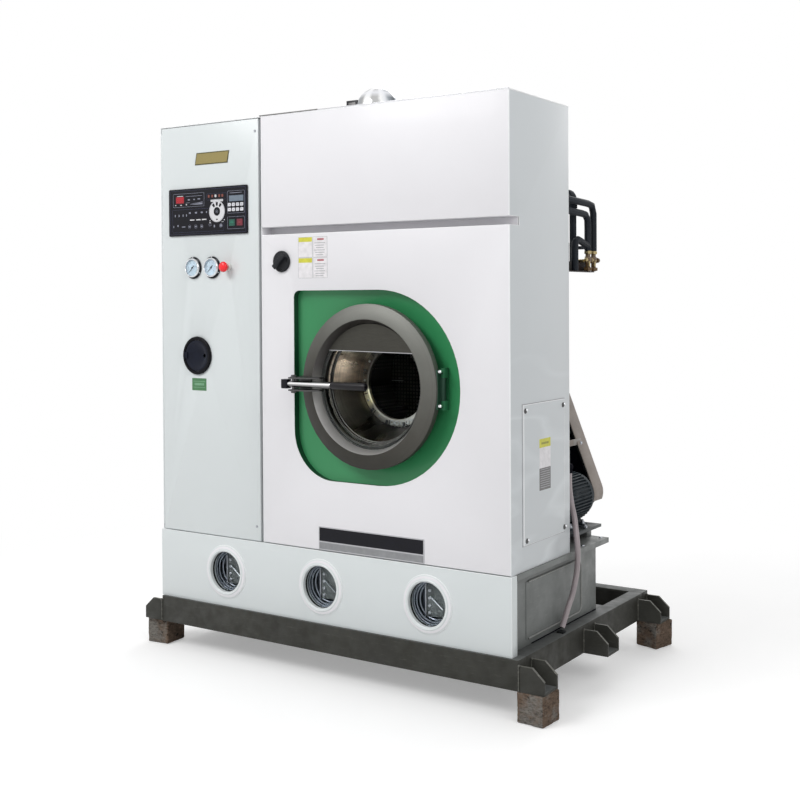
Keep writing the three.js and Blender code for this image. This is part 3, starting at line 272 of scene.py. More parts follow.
# Brushed-on paint with blotches, dusty scuffs and, if asked, a paler top.
def wornPaint(name, color, dust, roughness=0.5, dustAmount=0.5, shine=0.5, topColor=None):
    material, tree, shader = newMaterial(name, color, roughness)
    shader.inputs["Specular IOR Level"].default_value = shine
    place = coords(tree)
    blotch = ramp(
        tree, noise(tree, place, 7, 8, 0.62),
        [(0.3, tint(color, 0.78)), (0.52, color), (0.74, tint(color, 1.25))])
    scuff = ramp(
        tree, noise(tree, coords(tree, (1.5, 1.5, 9)), 14, 7, 0.7), [(0.56, gray(0)), (0.72, gray(dustAmount))])
    shade = mixColors(tree, scuff, blotch, dust)
    if topColor:
        upward = ramp(tree, facing(tree)["Z"], [(0.6, gray(0)), (0.9, gray(0.85))])
        shade = mixColors(tree, upward, shade, topColor)
    colorOn(tree, shader, shade)
    roughOn(tree, shader, noise(tree, place, 22, 5), (0.3, roughness * 0.75), (0.7, min(1, roughness * 1.35)))
    bumpOn(tree, shader, noise(tree, place, 120, 5), 0.12, 0.001)
    return material


# Metal with fine lines drawn out along one way.
def brushedSteel(name, color, roughness=0.3, stretch=(40, 2, 40), grain=14, bump=0.05):
    material, tree, shader = newMaterial(name, color, roughness, 1.0)
    lines = noise(tree, coords(tree, stretch), grain, 6, 0.6)
    shade = ramp(tree, lines, [(0.25, tint(color, 0.82)), (0.75, tint(color, 1.15))])
    colorOn(tree, shader, shade)
    roughOn(tree, shader, lines, (0.2, roughness * 0.8), (0.8, roughness * 1.25))
    bumpOn(tree, shader, lines, bump, 0.0004)
    return material


# Places about the loading door's axis: across, up, the reach from it, and reach with depth as a vector.
def roundDoor(tree):
    spot = split(tree, addNode(tree, "ShaderNodeTexCoord").outputs["Object"])
    across = maths(tree, "SUBTRACT", spot["X"], doorCentre.x)
    up = maths(tree, "SUBTRACT", spot["Z"], doorCentre.z)
    reach = vectorLength(tree, combined(tree, across, up))
    return across, up, reach, combined(tree, reach, spot["Y"])


# The turn about the loading door's axis, from 0 at the left, down and round to 1.
def roundTurn(tree, across, up):
    angle = maths(tree, "ARCTAN2", up, across)
    return maths(tree, "ADD", maths(tree, "DIVIDE", angle, 2 * math.pi), 0.5)


# Steel turned on a lathe, with fine rings round the loading door's axis.
def turnedSteel(name, color, roughness=0.32, wear=0.2):
    material, tree, shader = newMaterial(name, color, roughness, 1.0)
    fine = noise(tree, roundDoor(tree)[3], 900, 3, 0.6)
    both = addNode(tree, "ShaderNodeMix", data_type="FLOAT")
    both.inputs["Factor"].default_value = 0.45
    tree.links.new(fine, both.inputs["A"])
    tree.links.new(noise(tree, coords(tree), 9, 6, 0.6), both.inputs["B"])
    level = both.outputs["Result"]
    shade = ramp(tree, level, [(0.3, tint(color, 1 - wear)), (0.7, tint(color, 1 + wear))])
    colorOn(tree, shader, shade)
    roughOn(tree, shader, level, (0.3, roughness * 0.8), (0.7, roughness * 1.3))
    bumpOn(tree, shader, fine, 0.08, 0.0003)
    return material


doorRing = {
    "rim": 0.2325,          # metres from the axis to the inside of the rim
    "leaf": 0.2875,         # metres from the axis to the hinge leaf, its green darkened with painted shade
    "dark": (0.028, 0.026, 0.021),
    "middle": (0.068, 0.065, 0.056),
    "pale": (0.15, 0.152, 0.138),
    "leafShade": (0.014, 0.05, 0.03),
}


# The door ring: dull turned steel, with painted shade darker low at the left and a painted reflection inside its
# rim.
def doorRingSteel(name):
    material, tree, shader = newMaterial(name, doorRing["middle"], 0.5, 0.55)
    across, up, reach, ring = roundDoor(tree)
    # Painted shade and reflection: darker low at the left, paler up at the right.
    shadeSlope = maths(tree, "ADD", maths(tree, "MULTIPLY", up, 1.5), maths(tree, "MULTIPLY", across, 0.7))
    cloud = maths(tree, "MULTIPLY", noise(tree, coords(tree), 5, 5, 0.6), 0.35)
    level = maths(tree, "ADD", maths(tree, "ADD", shadeSlope, cloud), 0.32)
    face = ramp(tree, level, [(0.08, doorRing["dark"]), (0.45, doorRing["middle"]), (0.85, doorRing["pale"])])
    # A painted reflection on the bevel inside the rim, brighter low at the left.
    reflectionLevel = maths(tree, "SUBTRACT", 0.5, maths(tree, "ADD", maths(tree, "MULTIPLY", up, 2.2), across))
    bevel = ramp(tree, reflectionLevel, [
        (0.12, (0.04, 0.036, 0.032)), (0.55, (0.11, 0.105, 0.1)), (0.86, (0.36, 0.355, 0.345)),
    ])
    rimmed = mixColors(tree, maths(tree, "LESS_THAN", reach, doorRing["rim"]), face, bevel)
    # The hinge leaf: a darker copy of its green, painted shade.
    mixed = mixColors(tree, maths(tree, "GREATER_THAN", reach, doorRing["leaf"]), rimmed, doorRing["leafShade"])
    fine = noise(tree, ring, 900, 3, 0.6)
    streak = ramp(tree, fine, [(0.3, gray(0.86)), (0.7, gray(1.12))])
    colorOn(tree, shader, mixColors(tree, 1, mixed, streak, "MULTIPLY"))
    roughOn(tree, shader, fine, (0.2, 0.42), (0.8, 0.58))
    bumpOn(tree, shader, fine, 0.1, 0.0003)
    return material


leverStripe = {"height": 1.06, "spread": 42}    # the bar's axis in metres, and how fast the stripe changes


# The lever's bar: chrome with dark room reflections above and below one bright line.
def chromeBar(name):
    material, tree, shader = newMaterial(name, (0.6, 0.6, 0.62), 0.16, 1.0)
    spread = leverStripe["spread"]
    rise = maths(tree, "MULTIPLY", split(tree, coords(tree))["Z"], spread)
    stripe = ramp(tree, maths(tree, "ADD", rise, 0.5 - leverStripe["height"] * spread), [
        (0.04, gray(0.03)), (0.26, gray(0.14)), (0.44, gray(0.34)), (0.6, gray(1.0)), (0.72, gray(0.8)),
        (0.84, gray(0.12)), (0.96, gray(0.05)),
    ])
    colorOn(tree, shader, stripe)
    bumpOn(tree, shader, noise(tree, coords(tree, (3, 60, 60)), 20, 3), 0.03, 0.0003)
    return material


# The throat: polished sheet with tan and dark reflections drawn out along its depth.
def throatSteel(name):
    material, tree, shader = newMaterial(name, (0.4, 0.35, 0.28), 0.3, 1.0)
    across, up, _, ring = roundDoor(tree)
    broad = noise(tree, coords(tree, (7, 1.6, 7)), 1.5, 4, 0.55)
    drift = maths(tree, "MULTIPLY", maths(tree, "SUBTRACT", broad, 0.5), 0.22)
    shade = ramp(tree, maths(tree, "ADD", roundTurn(tree, across, up), drift), [
        (0.0, (0.14, 0.12, 0.1)), (0.06, (0.17, 0.16, 0.14)), (0.13, (0.13, 0.13, 0.115)),
        (0.19, (0.035, 0.034, 0.032)), (0.24, (0.02, 0.02, 0.02)), (0.28, (0.22, 0.21, 0.2)),
        (0.33, (0.6, 0.58, 0.55)), (0.42, (0.12, 0.11, 0.1)), (0.75, (0.2, 0.16, 0.12)), (0.84, (0.62, 0.5, 0.37)),
        (0.885, (1.0, 0.9, 0.72)), (0.92, (0.42, 0.33, 0.25)), (0.95, (0.8, 0.64, 0.5)),
        (0.985, (0.22, 0.18, 0.15)),
    ])
    lines = ramp(tree, noise(tree, ring, 260, 4, 0.6), [(0.35, gray(0.78)), (0.6, gray(1.08))])
    colorOn(tree, shader, mixColors(tree, 1, shade, lines, "MULTIPLY"))
    roughOn(tree, shader, broad, (0.3, 0.38), (0.7, 0.22))
    bumpOn(tree, shader, noise(tree, coords(tree), 24, 4), 0.12, 0.002)
    return material


# The drum's mouth ring: dull above, with a warm bright reflection low at the left.
def mouthRingSteel(name):
    material, tree, shader = newMaterial(name, (0.3, 0.27, 0.23), 0.3, 0.9)
    across, up, _, ring = roundDoor(tree)
    drift = maths(tree, "MULTIPLY", maths(tree, "SUBTRACT", noise(tree, coords(tree), 16, 4), 0.5), 0.05)
    shade = ramp(tree, maths(tree, "ADD", roundTurn(tree, across, up), drift), [
        (0.0, (0.1, 0.09, 0.075)), (0.02, (0.3, 0.27, 0.2)), (0.035, (1.0, 0.92, 0.66)), (0.09, (0.9, 0.8, 0.5)),
        (0.11, (0.3, 0.27, 0.22)), (0.17, (0.42, 0.4, 0.36)), (0.25, (0.3, 0.29, 0.26)), (0.33, (0.5, 0.49, 0.46)),
        (0.4, (0.1, 0.09, 0.08)), (0.8, (0.07, 0.065, 0.06)), (1.0, (0.1, 0.09, 0.075)),
    ])
    colorOn(tree, shader, shade)
    bumpOn(tree, shader, noise(tree, ring, 700, 3), 0.06, 0.0004)
    return material


# Dark drum sheet with rows of small holes, each with a painted highlight round its edge.
def perforatedSteel(name):
    material, tree, shader = newMaterial(name, (0.02, 0.02, 0.022), 0.45, 0.8)
    cells = addNode(tree, "ShaderNodeTexVoronoi", Scale=70, Randomness=0.0)
    tree.links.new(coords(tree), cells.inputs["Vector"])
    holesAndHighlights = ramp(tree, cells.outputs["Distance"], [
        (0.0, gray(0.0)), (0.16, gray(0.004)), (0.24, gray(0.22)), (0.34, gray(0.03)), (1.0, gray(0.018)),
    ])
    cloud = ramp(tree, noise(tree, coords(tree), 9, 4), [(0.35, gray(0.55)), (0.65, gray(1.5))])
    colorOn(tree, shader, mixColors(tree, 1, holesAndHighlights, cloud, "MULTIPLY"))
    bumpOn(tree, shader, cells.outputs["Distance"], 0.4, 0.002)
    return material


# Cloudy plastic hose with a crossed braid in its wall.
def braidedHose(name):
    material, tree, shader = newMaterial(name, (0.26, 0.215, 0.225), 0.3)
    shader.inputs["Coat Weight"].default_value = 0.4
    shader.inputs["Coat Roughness"].default_value = 0.15
    crossed = None
    for lean in (1, -1):
        band = addNode(tree, "ShaderNodeTexWave", Scale=110, Distortion=0.4, bands_direction="DIAGONAL")
        tree.links.new(coords(tree, (lean, lean, 1)), band.inputs["Vector"])
        thread = ramp(tree, band.outputs["Fac"], [(0.55, gray(0.0)), (0.9, gray(0.55))])
        crossed = thread if crossed is None else mixColors(tree, 1, crossed, thread, "LIGHTEN")
    body = ramp(tree, noise(tree, coords(tree), 14, 4), [(0.3, (0.2, 0.165, 0.175)), (0.7, (0.3, 0.25, 0.26))])
    colorOn(tree, shader, mixColors(tree, crossed, body, (0.42, 0.37, 0.38)))
    bumpOn(tree, shader, crossed, 0.2, 0.0005)
    return material


# Moulded plastic or rubber with a fine grain.
def moulded(name, color, roughness=0.4, grainScale=500, bump=0.08, shine=0.5):
    material, tree, shader = newMaterial(name, color, roughness)
    shader.inputs["Specular IOR Level"].default_value = shine
    place = coords(tree)
    speck = noise(tree, place, grainScale, 2)
    shade = ramp(tree, noise(tree, place, 30, 3), [(0.3, tint(color, 0.85)), (0.7, tint(color, 1.2))])
    colorOn(tree, shader, shade)
    roughOn(tree, shader, speck, (0.3, roughness * 0.85), (0.7, roughness * 1.15))
    bumpOn(tree, shader, speck, bump, 0.0003)
    return material


# Print or a flat label, a little faded in places.
def printed(name, color, roughness=0.35):
    material, tree, shader = newMaterial(name, color, roughness)
    fade = ramp(tree, noise(tree, coords(tree), 60, 3), [(0.3, tint(color, 0.9)), (0.7, tint(color, 1.08))])
    colorOn(tree, shader, fade)
    return material


# Clear glass with faint smears.
def clearGlass(name, color, roughness=0.02):
    material, tree, shader = newMaterial(name, color, roughness)
    shader.inputs["Transmission Weight"].default_value = 1.0
    shader.inputs["IOR"].default_value = 1.05
    roughOn(tree, shader, noise(tree, coords(tree), 5, 4), (0.4, roughness), (0.8, roughness * 2.5))
    return material


# Weathered timber: greyed end grain in front, browner sides, dark cracks and knots.
def roughTimber(name):
    greyed, brown = (0.17, 0.158, 0.142), (0.145, 0.102, 0.074)
    material, tree, shader = newMaterial(name, brown, 0.9)
    shader.inputs["Specular IOR Level"].default_value = 0.2
    place = coords(tree)
    side = maths(tree, "MULTIPLY", maths(tree, "ABSOLUTE", facing(tree)["X"], 0), 0.2)
    stain = maths(tree, "ADD", noise(tree, place, 13, 5, 0.6), side)
    body = ramp(tree, stain, [(0.45, greyed), (0.62, brown), (0.85, tint(brown, 0.75))])
    grain = noise(tree, coords(tree, (14, 14, 40)), 4, 9, 0.75)
    lines = ramp(tree, grain, [(0.34, gray(0.3)), (0.46, gray(0.85)), (0.7, gray(1.6))])
    pits = noise(tree, place, 31, 4, 0.7)
    knots = ramp(tree, pits, [(0.33, gray(0.1)), (0.39, gray(0.8)), (0.5, gray(1.0))])
    worn = mixColors(tree, 1, mixColors(tree, 1, body, lines, "MULTIPLY"), knots, "MULTIPLY")
    colorOn(tree, shader, worn)
    bumpOn(tree, shader, maths(tree, "ADD", grain, pits), 0.8, 0.005)
    return material


ductDome = {
    "centre": (128, 190, 2030.3),
    "profile": ((80, 0), (79.6, 14), (77, 32), (71, 50), (61, 66), (48, 78), (34, 86), (17, 90), (0, 91)),
}


# Spun sheet dome: painted upright bands of grey and white reflections, and a painted highlight round its crown.
def bandedSheet(name):
    material, tree, shader = newMaterial(name, (0.7, 0.71, 0.74), 0.14, 1.0)
    spot, middle = split(tree, coords(tree)), at(*ductDome["centre"])
    across, along, height = (
        maths(tree, "SUBTRACT", spot[axis], part) for axis, part in zip("XYZ", middle))
    drift = maths(tree, "MULTIPLY", noise(tree, coords(tree), 12, 3), 0.07)
    shade = ramp(tree, maths(tree, "ADD", roundTurn(tree, across, along), drift), [
        (0.13, (0.08, 0.09, 0.1)), (0.19, (0.28, 0.3, 0.32)), (0.255, gray(0.45)), (0.28, gray(0.95)),
        (0.32, gray(0.95)), (0.345, gray(0.5)), (0.39, gray(0.55)), (0.41, gray(0.97)), (0.44, (0.8, 0.82, 0.85)),
        (0.47, (0.34, 0.37, 0.4)), (0.54, (0.06, 0.07, 0.08)),
    ])
    crownHighlight = ramp(tree, maths(tree, "MULTIPLY", height, 10), [(0.5, gray(0)), (0.68, gray(0.85)), (0.84, gray(0.2))])
    colorOn(tree, shader, mixColors(tree, crownHighlight, shade, (0.9, 0.91, 0.95)))
    bumpOn(tree, shader, noise(tree, coords(tree, (1, 1, 12)), 12, 3), 0.05, 0.002)
    return material


# Enamelled sheet.
whiteEnamel = enamel("whiteEnamel", (0.795, 0.787, 0.812), 0.42, 0.02)
coolEnamel = enamel("coolEnamel", (0.675, 0.715, 0.72), 0.3, 0.02)
sideEnamel = wavySheet("sideEnamel", (0.68, 0.715, 0.735))
# A paler enamel, the painted highlight on the white sheets' rounded edges.
edgeHighlightEnamel = enamel("edgeHighlightEnamel", (0.92, 0.93, 0.94), 0.3, 0.02)
# Its second colour is painted shade on the pan's turned-in walls.
greenEnamel = panEnamel("greenEnamel", (0.036, 0.262, 0.098), (0.004, 0.042, 0.018))

# Painted steel and castings.
framePaint = wornPaint("framePaint", (0.024, 0.024, 0.019), (0.12, 0.12, 0.1), 0.6, 0.2, 0.4, (0.1, 0.106, 0.104))
tankPaint = wornPaint("tankPaint", (0.16, 0.17, 0.165), (0.34, 0.34, 0.31), 0.42, 0.2)
guardPaint = wornPaint("guardPaint", (0.25, 0.215, 0.19), (0.4, 0.36, 0.32), 0.5, 0.25)
motorPaint = wornPaint("motorPaint", (0.011, 0.018, 0.023), (0.045, 0.056, 0.065), 0.5, 0.3, 0.2)
wornEdge = wornPaint("wornEdge", (0.1, 0.1, 0.086), (0.3, 0.29, 0.26), 0.5, 0.6)
tankBead = wornPaint("tankBead", (0.2, 0.205, 0.195), (0.4, 0.4, 0.37), 0.4, 0.4)
slidePaint = wornPaint("slidePaint", (0.035, 0.042, 0.044), (0.16, 0.17, 0.17), 0.45, 0.4)
armPaint = wornPaint("armPaint", (0.3, 0.28, 0.26), (0.42, 0.39, 0.36), 0.5, 0.2)
valveBrass = wornPaint("valveBrass", (0.1, 0.055, 0.02), (0.5, 0.4, 0.2), 0.35, 0.9)
bracketBrown = wornPaint("bracketBrown", (0.016, 0.009, 0.008), (0.05, 0.035, 0.03), 0.5, 0.4, 0.3)
hingeSteel = wornPaint("hingeSteel", (0.02, 0.13, 0.055), (0.04, 0.17, 0.08), 0.5, 0.3, 0.2)
castIron = wornPaint("castIron", (0.03, 0.032, 0.035), (0.1, 0.1, 0.1), 0.5, 0.2, 0.3)
baffleSteel = wornPaint("baffleSteel", (0.13, 0.14, 0.135), (0.26, 0.28, 0.27), 0.5, 0.5)

# Bare metal.
valveBright = brushedSteel("valveBright", (0.42, 0.34, 0.18), 0.3, (8, 8, 8), 24, 0.05)
domeSheet = bandedSheet("domeSheet")
doorSteel = doorRingSteel("doorSteel")
innerSteel = throatSteel("innerSteel")
mouthSteel = mouthRingSteel("mouthSteel")
drumSteel = perforatedSteel("drumSteel")
stepSteel = turnedSteel("stepSteel", (0.12, 0.115, 0.11), 0.36)
bracketSteel = brushedSteel("bracketSteel", (0.1, 0.1, 0.1), 0.38)
# Chrome, which also stands for the painted glints on the cover's screws.
chromeAndGlint = brushedSteel("chromeAndGlint", (0.75, 0.76, 0.78), 0.1, (2, 2, 2), 60, 0.01)
galvanisedSheet = brushedSteel("galvanisedSheet", (0.62, 0.64, 0.66), 0.28, (6, 6, 6), 10, 0.06)
shieldSteel = brushedSteel("shieldSteel", (0.066, 0.064, 0.056), 0.42, (3, 40, 40), 12)
leverChrome = chromeBar("leverChrome")
neckSteel = brushedSteel("neckSteel", (0.2, 0.215, 0.24), 0.4, (12, 3, 12), 10, 0.05)
rodSteel = brushedSteel("rodSteel", (0.42, 0.44, 0.45), 0.3)
badgeEdge = brushedSteel("badgeEdge", (0.1, 0.095, 0.05), 0.4)
badgeGold = brushedSteel("badgeGold", (0.3, 0.25, 0.11), 0.42)
# Silver for plates and rivets, and for painted highlight strips.
silverAndHighlight = brushedSteel("silverAndHighlight", (0.5, 0.5, 0.52), 0.4)
screwSteel = brushedSteel("screwSteel", (0.4, 0.42, 0.45), 0.28)

# Plastic, rubber and foam.
# Near black: the hose barb and the tank's dark joints, and painted shade lining the belt guard.
darkAndShade = moulded("darkAndShade", (0.001, 0.001, 0.004), 0.8, 200, 0.05, 0.05)
gasketGrey = moulded("gasketGrey", (0.045, 0.045, 0.042), 0.35, 300, 0.05, 0.4)
hosePlastic = braidedHose("hosePlastic")
blackPlastic = moulded("blackPlastic", (0.008, 0.009, 0.012), 0.42, shine=0.25)
blackGloss = moulded("blackGloss", (0.003, 0.003, 0.007), 0.14, 300, 0.01, 0.22)
redPlastic = moulded("redPlastic", (0.82, 0.012, 0.02), 0.25, 300, 0.02)
paleCollar = moulded("paleCollar", (0.62, 0.6, 0.58), 0.35, 300, 0.02)
flapBlue = moulded("flapBlue", (0.006, 0.008, 0.017), 0.3, 300, 0.03, 0.16)
flapBlack = moulded("flapBlack", (0.003, 0.003, 0.005), 0.25, 300, 0.03, 0.12)
blackRubber = moulded("blackRubber", (0.009, 0.01, 0.011), 0.75, 220, 0.2, 0.2)
pipeFoam = moulded("pipeFoam", (0.006, 0.009, 0.014), 0.6, 180, 0.25, 0.25)
gripPlastic = moulded("gripPlastic", (0.006, 0.005, 0.007), 0.35, 300, 0.04, 0.25)

# Glass and timber.
doorPane = clearGlass("doorPane", (0.93, 0.96, 0.96))
portholePane = clearGlass("portholePane", (0.9, 0.93, 0.95))
timberWood = roughTimber("timberWood")

# Plates and print.
plateGrey = printed("plateGrey", (0.25, 0.255, 0.265))
labelGreen = printed("labelGreen", (0.06, 0.19, 0.075))
labelWhite = printed("labelWhite", (0.78, 0.76, 0.78))
labelYellow = printed("labelYellow", (0.62, 0.6, 0.06))
labelOlive = printed("labelOlive", (0.3, 0.29, 0.03))
labelRed = printed("labelRed", (0.42, 0.1, 0.12))
# Grey for print, and for the painted shade strip along the roof's front edge.
labelGreyAndShade = printed("labelGreyAndShade", (0.15, 0.145, 0.145))
# Grey for printed lines, and for the painted shadow line round the access cover.
lineGreyAndShadow = printed("lineGreyAndShadow", (0.36, 0.36, 0.38))
print("materials made")


def finishPiece(piece, material, body, nodes=(), sharp=30):
    piece.data.materials.append(material)
    if piece.type == "MESH":
        piece.data.shade_smooth()
        piece.data.set_sharp_from_angle(angle=math.radians(sharp))
    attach(piece, body)
    if nodes:
        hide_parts(*nodes)
    return piece


def newPiece(name, bm):
    mesh = bpy.data.meshes.new(name)
    bmesh.ops.recalc_face_normals(bm, faces=bm.faces)
    bm.to_mesh(mesh)
    bm.free()
    piece = bpy.data.objects.new(name, mesh)
    bpy.context.scene.collection.objects.link(piece)
    return piece


def cutUnder(bm, height):
    return bmesh.ops.bisect_plane(
        bm, geom=list(bm.verts) + list(bm.edges) + list(bm.faces), plane_co=at(0, 0, height), plane_no=(0, 0, 1),
        clear_inner=True)


softening = {"width": 1.2, "segments": 2, "sharp": 35}


# A finer copy of a CAD solid: flat faces are joined up and every sharp edge is rounded off.
def softened(node, material, width=softening["width"], edgeHighlight=None, openBelow=None):
    source = cadNodes[node]
    bm = bmesh.new()
    bm.from_mesh(source.data)
    for face in bm.faces:
        face.material_index = 0
    bmesh.ops.remove_doubles(bm, verts=bm.verts, dist=1e-5)
    bmesh.ops.dissolve_limit(bm, angle_limit=math.radians(1), verts=bm.verts, edges=bm.edges)
    if openBelow is not None:
        rim = [e for e in cutUnder(bm, openBelow)["geom_cut"] if isinstance(e, bmesh.types.BMEdge)]
        bmesh.ops.holes_fill(bm, edges=rim, sides=0)
    sharp = math.radians(softening["sharp"])
    edges = [e for e in bm.edges if len(e.link_faces) == 2 and e.calc_face_angle(0) > sharp]
    rounded = bmesh.ops.bevel(
        bm, geom=edges, offset=width / 1000, offset_type="OFFSET", segments=softening["segments"], profile=0.5,
        affect="EDGES", clamp_overlap=True)
    # The rounded edges may take a second material, a painted highlight.
    if edgeHighlight:
        for face in rounded["faces"]:
            face.material_index = 1
    bmesh.ops.triangulate(bm, faces=[f for f in bm.faces if len(f.verts) > 4])
    piece = finishPiece(newPiece(node + "_fine", bm), material, source["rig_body"], [node])
    if edgeHighlight:
        piece.data.materials.append(edgeHighlight)
    return piece


# Joins each ring of points to the next, and the last to the first where they come round.
def bandFaces(bm, rings, comesRound=True, closed=True):
    pairs = list(zip(rings, rings[1:]))
    if comesRound:
        pairs.append((rings[-1], rings[0]))
    for first, second in pairs:
        for i in range(len(first) if closed else len(first) - 1):
            j = (i + 1) % len(first)
            bm.faces.new((first[i], first[j], second[j], second[i]))


# A point at some reach from (x, z), at a turn in degrees.
def around(x, z, reach, turn):
    angle = math.radians(turn)
    return (x + reach * math.cos(angle), z + reach * math.sin(angle))


# A body turned about an axis: profile is (radius, distance along the axis) in millimetres.
def turnedPiece(name, profile, centre, steps=96, closed=True, axis="Y"):
    bm = bmesh.new()
    rings = []
    for step in range(steps):
        c, s = around(0, 0, 1, 360 * step / steps)
        turned = {"X": lambda r, d: (d, r * c, r * s), "Y": lambda r, d: (r * c, d, r * s),
                  "Z": lambda r, d: (r * c, r * s, d)}[axis]
        rings.append([bm.verts.new(at(*(a + b for a, b in zip(centre, turned(r, d))))) for r, d in profile])
    bandFaces(bm, rings, closed=closed)
    bmesh.ops.remove_doubles(bm, verts=bm.verts, dist=1e-6)
    return newPiece(name, bm)


# Points told from a middle, set at that middle.
def shifted(points, x, z):
    return [(across + x, depth, rise + z) for across, depth, rise in points]


# A rounded box between two corners in millimetres.
def slabPiece(name, low, high, rounding=0.6, segments=2):
    bm = bmesh.new()
    bmesh.ops.create_cube(bm, size=1)
    lowPoint, highPoint = at(*low), at(*high)
    for vert in bm.verts:
        vert.co = Vector(
            lowPoint[i] + (vert.co[i] + 0.5) * (highPoint[i] - lowPoint[i]) for i in range(3))
    if rounding:
        bmesh.ops.bevel(
            bm, geom=list(bm.edges), offset=rounding / 1000, segments=segments, profile=0.5,
            affect="EDGES", clamp_overlap=True)
    return newPiece(name, bm)


def joined(name, pieces):
    bm = bmesh.new()
    for piece in pieces:
        bm.from_mesh(piece.data)
        bpy.data.objects.remove(piece)
    return newPiece(name, bm)


# A round bar along a line of points, with one radius or one for each point.
def roundBar(name, points, radius, sides=24):
    bm = bmesh.new()
    rings = []
    path = [at(*point) for point in points]
    side = None
    for i, here in enumerate(path):
        ahead = path[min(i + 1, len(path) - 1)] - path[max(i - 1, 0)]
        ahead.normalize()
        if side is None:
            side = ahead.orthogonal().normalized()
        side = (side - ahead * side.dot(ahead)).normalized()
        other = ahead.cross(side)
        reach = (radius[i] if isinstance(radius, (list, tuple)) else radius) / 1000
        rings.append([
            bm.verts.new(here + reach * (side * c + other * s))
            for c, s in (around(0, 0, 1, 360 * turn / sides) for turn in range(sides))
        ])
    bandFaces(bm, rings, comesRound=False)
    bm.faces.new(list(reversed(rings[0])))
    bm.faces.new(rings[-1])
    return newPiece(name, bm)


# The drain hose hangs from the barb at the cabinet's back. Its route is the one of the solids.
drainHose = {
    "diameter": 20,
    "route": [
        (765, 455, 734.7), (765, 455, 710), (765, 456, 686), (768, 457, 655), (774, 457, 620), (786, 453, 578),
        (798, 441, 535), (808, 431, 495), (812, 427, 459), (812, 425, 425), (811, 420, 391), (808, 411, 355),
        (804, 401, 320), (800, 381, 286), (797, 365, 256), (793, 343, 215),
    ],
    "perSpan": 6,
    "sides": 28,
}


# A smooth line through all the points.
def smoothRoute(points, perSpan):
    ends = [tuple(2 * a - b for a, b in zip(points[0], points[1]))] + list(points)
    ends.append(tuple(2 * a - b for a, b in zip(points[-1], points[-2])))
    line = []
    for i in range(len(points) - 1):
        p0, p1, p2, p3 = (Vector(p) for p in ends[i:i + 4])
        for step in range(perSpan):
            t = step / perSpan
            line.append(0.5 * (2 * p1 + (p2 - p0) * t + (2 * p0 - 5 * p1 + 4 * p2 - p3) * t ** 2
                               + (3 * p1 - p0 - 3 * p2 + p3) * t ** 3))
    return line + [Vector(points[-1])]


def makeDrainHose():
    line = smoothRoute(drainHose["route"], drainHose["perSpan"])
    hose = roundBar("drain_hose_braided", line, drainHose["diameter"] / 2, drainHose["sides"])
    finishPiece(hose, hosePlastic, "machine", ["drain_hose"], 60)


makeDrainHose()

studio = {
    "floorColor": 0.8,
    "floorLift": 0.3,        # brings the lit floor up to white where a view ray meets it
    "fadeFrom": 1.5,         # metres from the machine, where the floor goes over to white
    "fadeTo": 3.2,
    "world": 0.5,
    "lamps": {               # place, aim, size in metres and power
        "keyLight": ((-1800, -4200, 4900), (0, 200, 1000), (3.2, 2.2), 180),
        "fillLight": ((4300, -1500, 3500), (300, 400, 1100), (2.8, 2.4), 46),
        "backLight": ((-600, 3800, 3400), (0, 400, 1000), (3.5, 2.4), 60),
    },
}


# White for what is seen straight, in a gloss or through a glass.
def seenRays(tree):
    path = addNode(tree, "ShaderNodeLightPath")
    total = path.outputs["Is Camera Ray"]
    for name in ("Is Glossy Ray", "Is Transmission Ray"):
        more = addNode(tree, "ShaderNodeMath", operation="ADD", use_clamp=True)
        tree.links.new(total, more.inputs[0])
        tree.links.new(path.outputs[name], more.inputs[1])
        total = more.outputs["Value"]
    return total


def mixShaders(tree, factor, first, second):
    mix = addNode(tree, "ShaderNodeMixShader")
    tree.links.new(factor, mix.inputs["Fac"])
    tree.links.new(first, mix.inputs[1])
    tree.links.new(second, mix.inputs[2])
    return mix.outputs["Shader"]


def makeWorld():
    world = bpy.data.worlds.new("studio")
    bpy.context.scene.world = world
    world.use_nodes = True
    tree = world.node_tree
    lighting = tree.nodes["Background"]
    lighting.inputs["Color"].default_value = (1, 1, 1, 1)
    lighting.inputs["Strength"].default_value = studio["world"]
    backdrop = addNode(tree, "ShaderNodeBackground", Strength=1.0)
    backdrop.inputs["Color"].default_value = (1, 1, 1, 1)
    mixed = mixShaders(tree, seenRays(tree), lighting.outputs["Background"], backdrop.outputs["Background"])
    tree.links.new(mixed, tree.nodes["World Output"].inputs["Surface"])


def makeFloor():
    bm = bmesh.new()
    bmesh.ops.create_circle(bm, cap_ends=True, radius=12, segments=64)
    floor = newPiece("floor", bm)
    floor.location.z = -0.001
    tone = studio["floorColor"]
    material, tree, shader = newMaterial("paleFloor", gray(tone), 0.9)
    speck = ramp(tree, noise(tree, coords(tree), 3, 3), [(0.3, gray(tone - 0.01)), (0.7, gray(tone + 0.01))])
    colorOn(tree, shader, speck)
    seen = seenRays(tree)
    shader.inputs["Emission Color"].default_value = (1, 1, 1, 1)
    tree.links.new(maths(tree, "MULTIPLY", seen, studio["floorLift"]), shader.inputs["Emission Strength"])
    fade = addNode(tree, "ShaderNodeMapRange", interpolation_type="SMOOTHSTEP")
    fade.inputs["From Min"].default_value = studio["fadeFrom"]
    fade.inputs["From Max"].default_value = studio["fadeTo"]
    tree.links.new(vectorLength(tree, coords(tree)), fade.inputs["Value"])
    far = maths(tree, "MULTIPLY", fade.outputs["Result"], seen)
    white = addNode(tree, "ShaderNodeEmission", Strength=1.0)
    white.inputs["Color"].default_value = (1, 1, 1, 1)
    mixed = mixShaders(tree, far, shader.outputs["BSDF"], white.outputs["Emission"])
    tree.links.new(mixed, tree.nodes["Material Output"].inputs["Surface"])
    floor.data.materials.append(material)


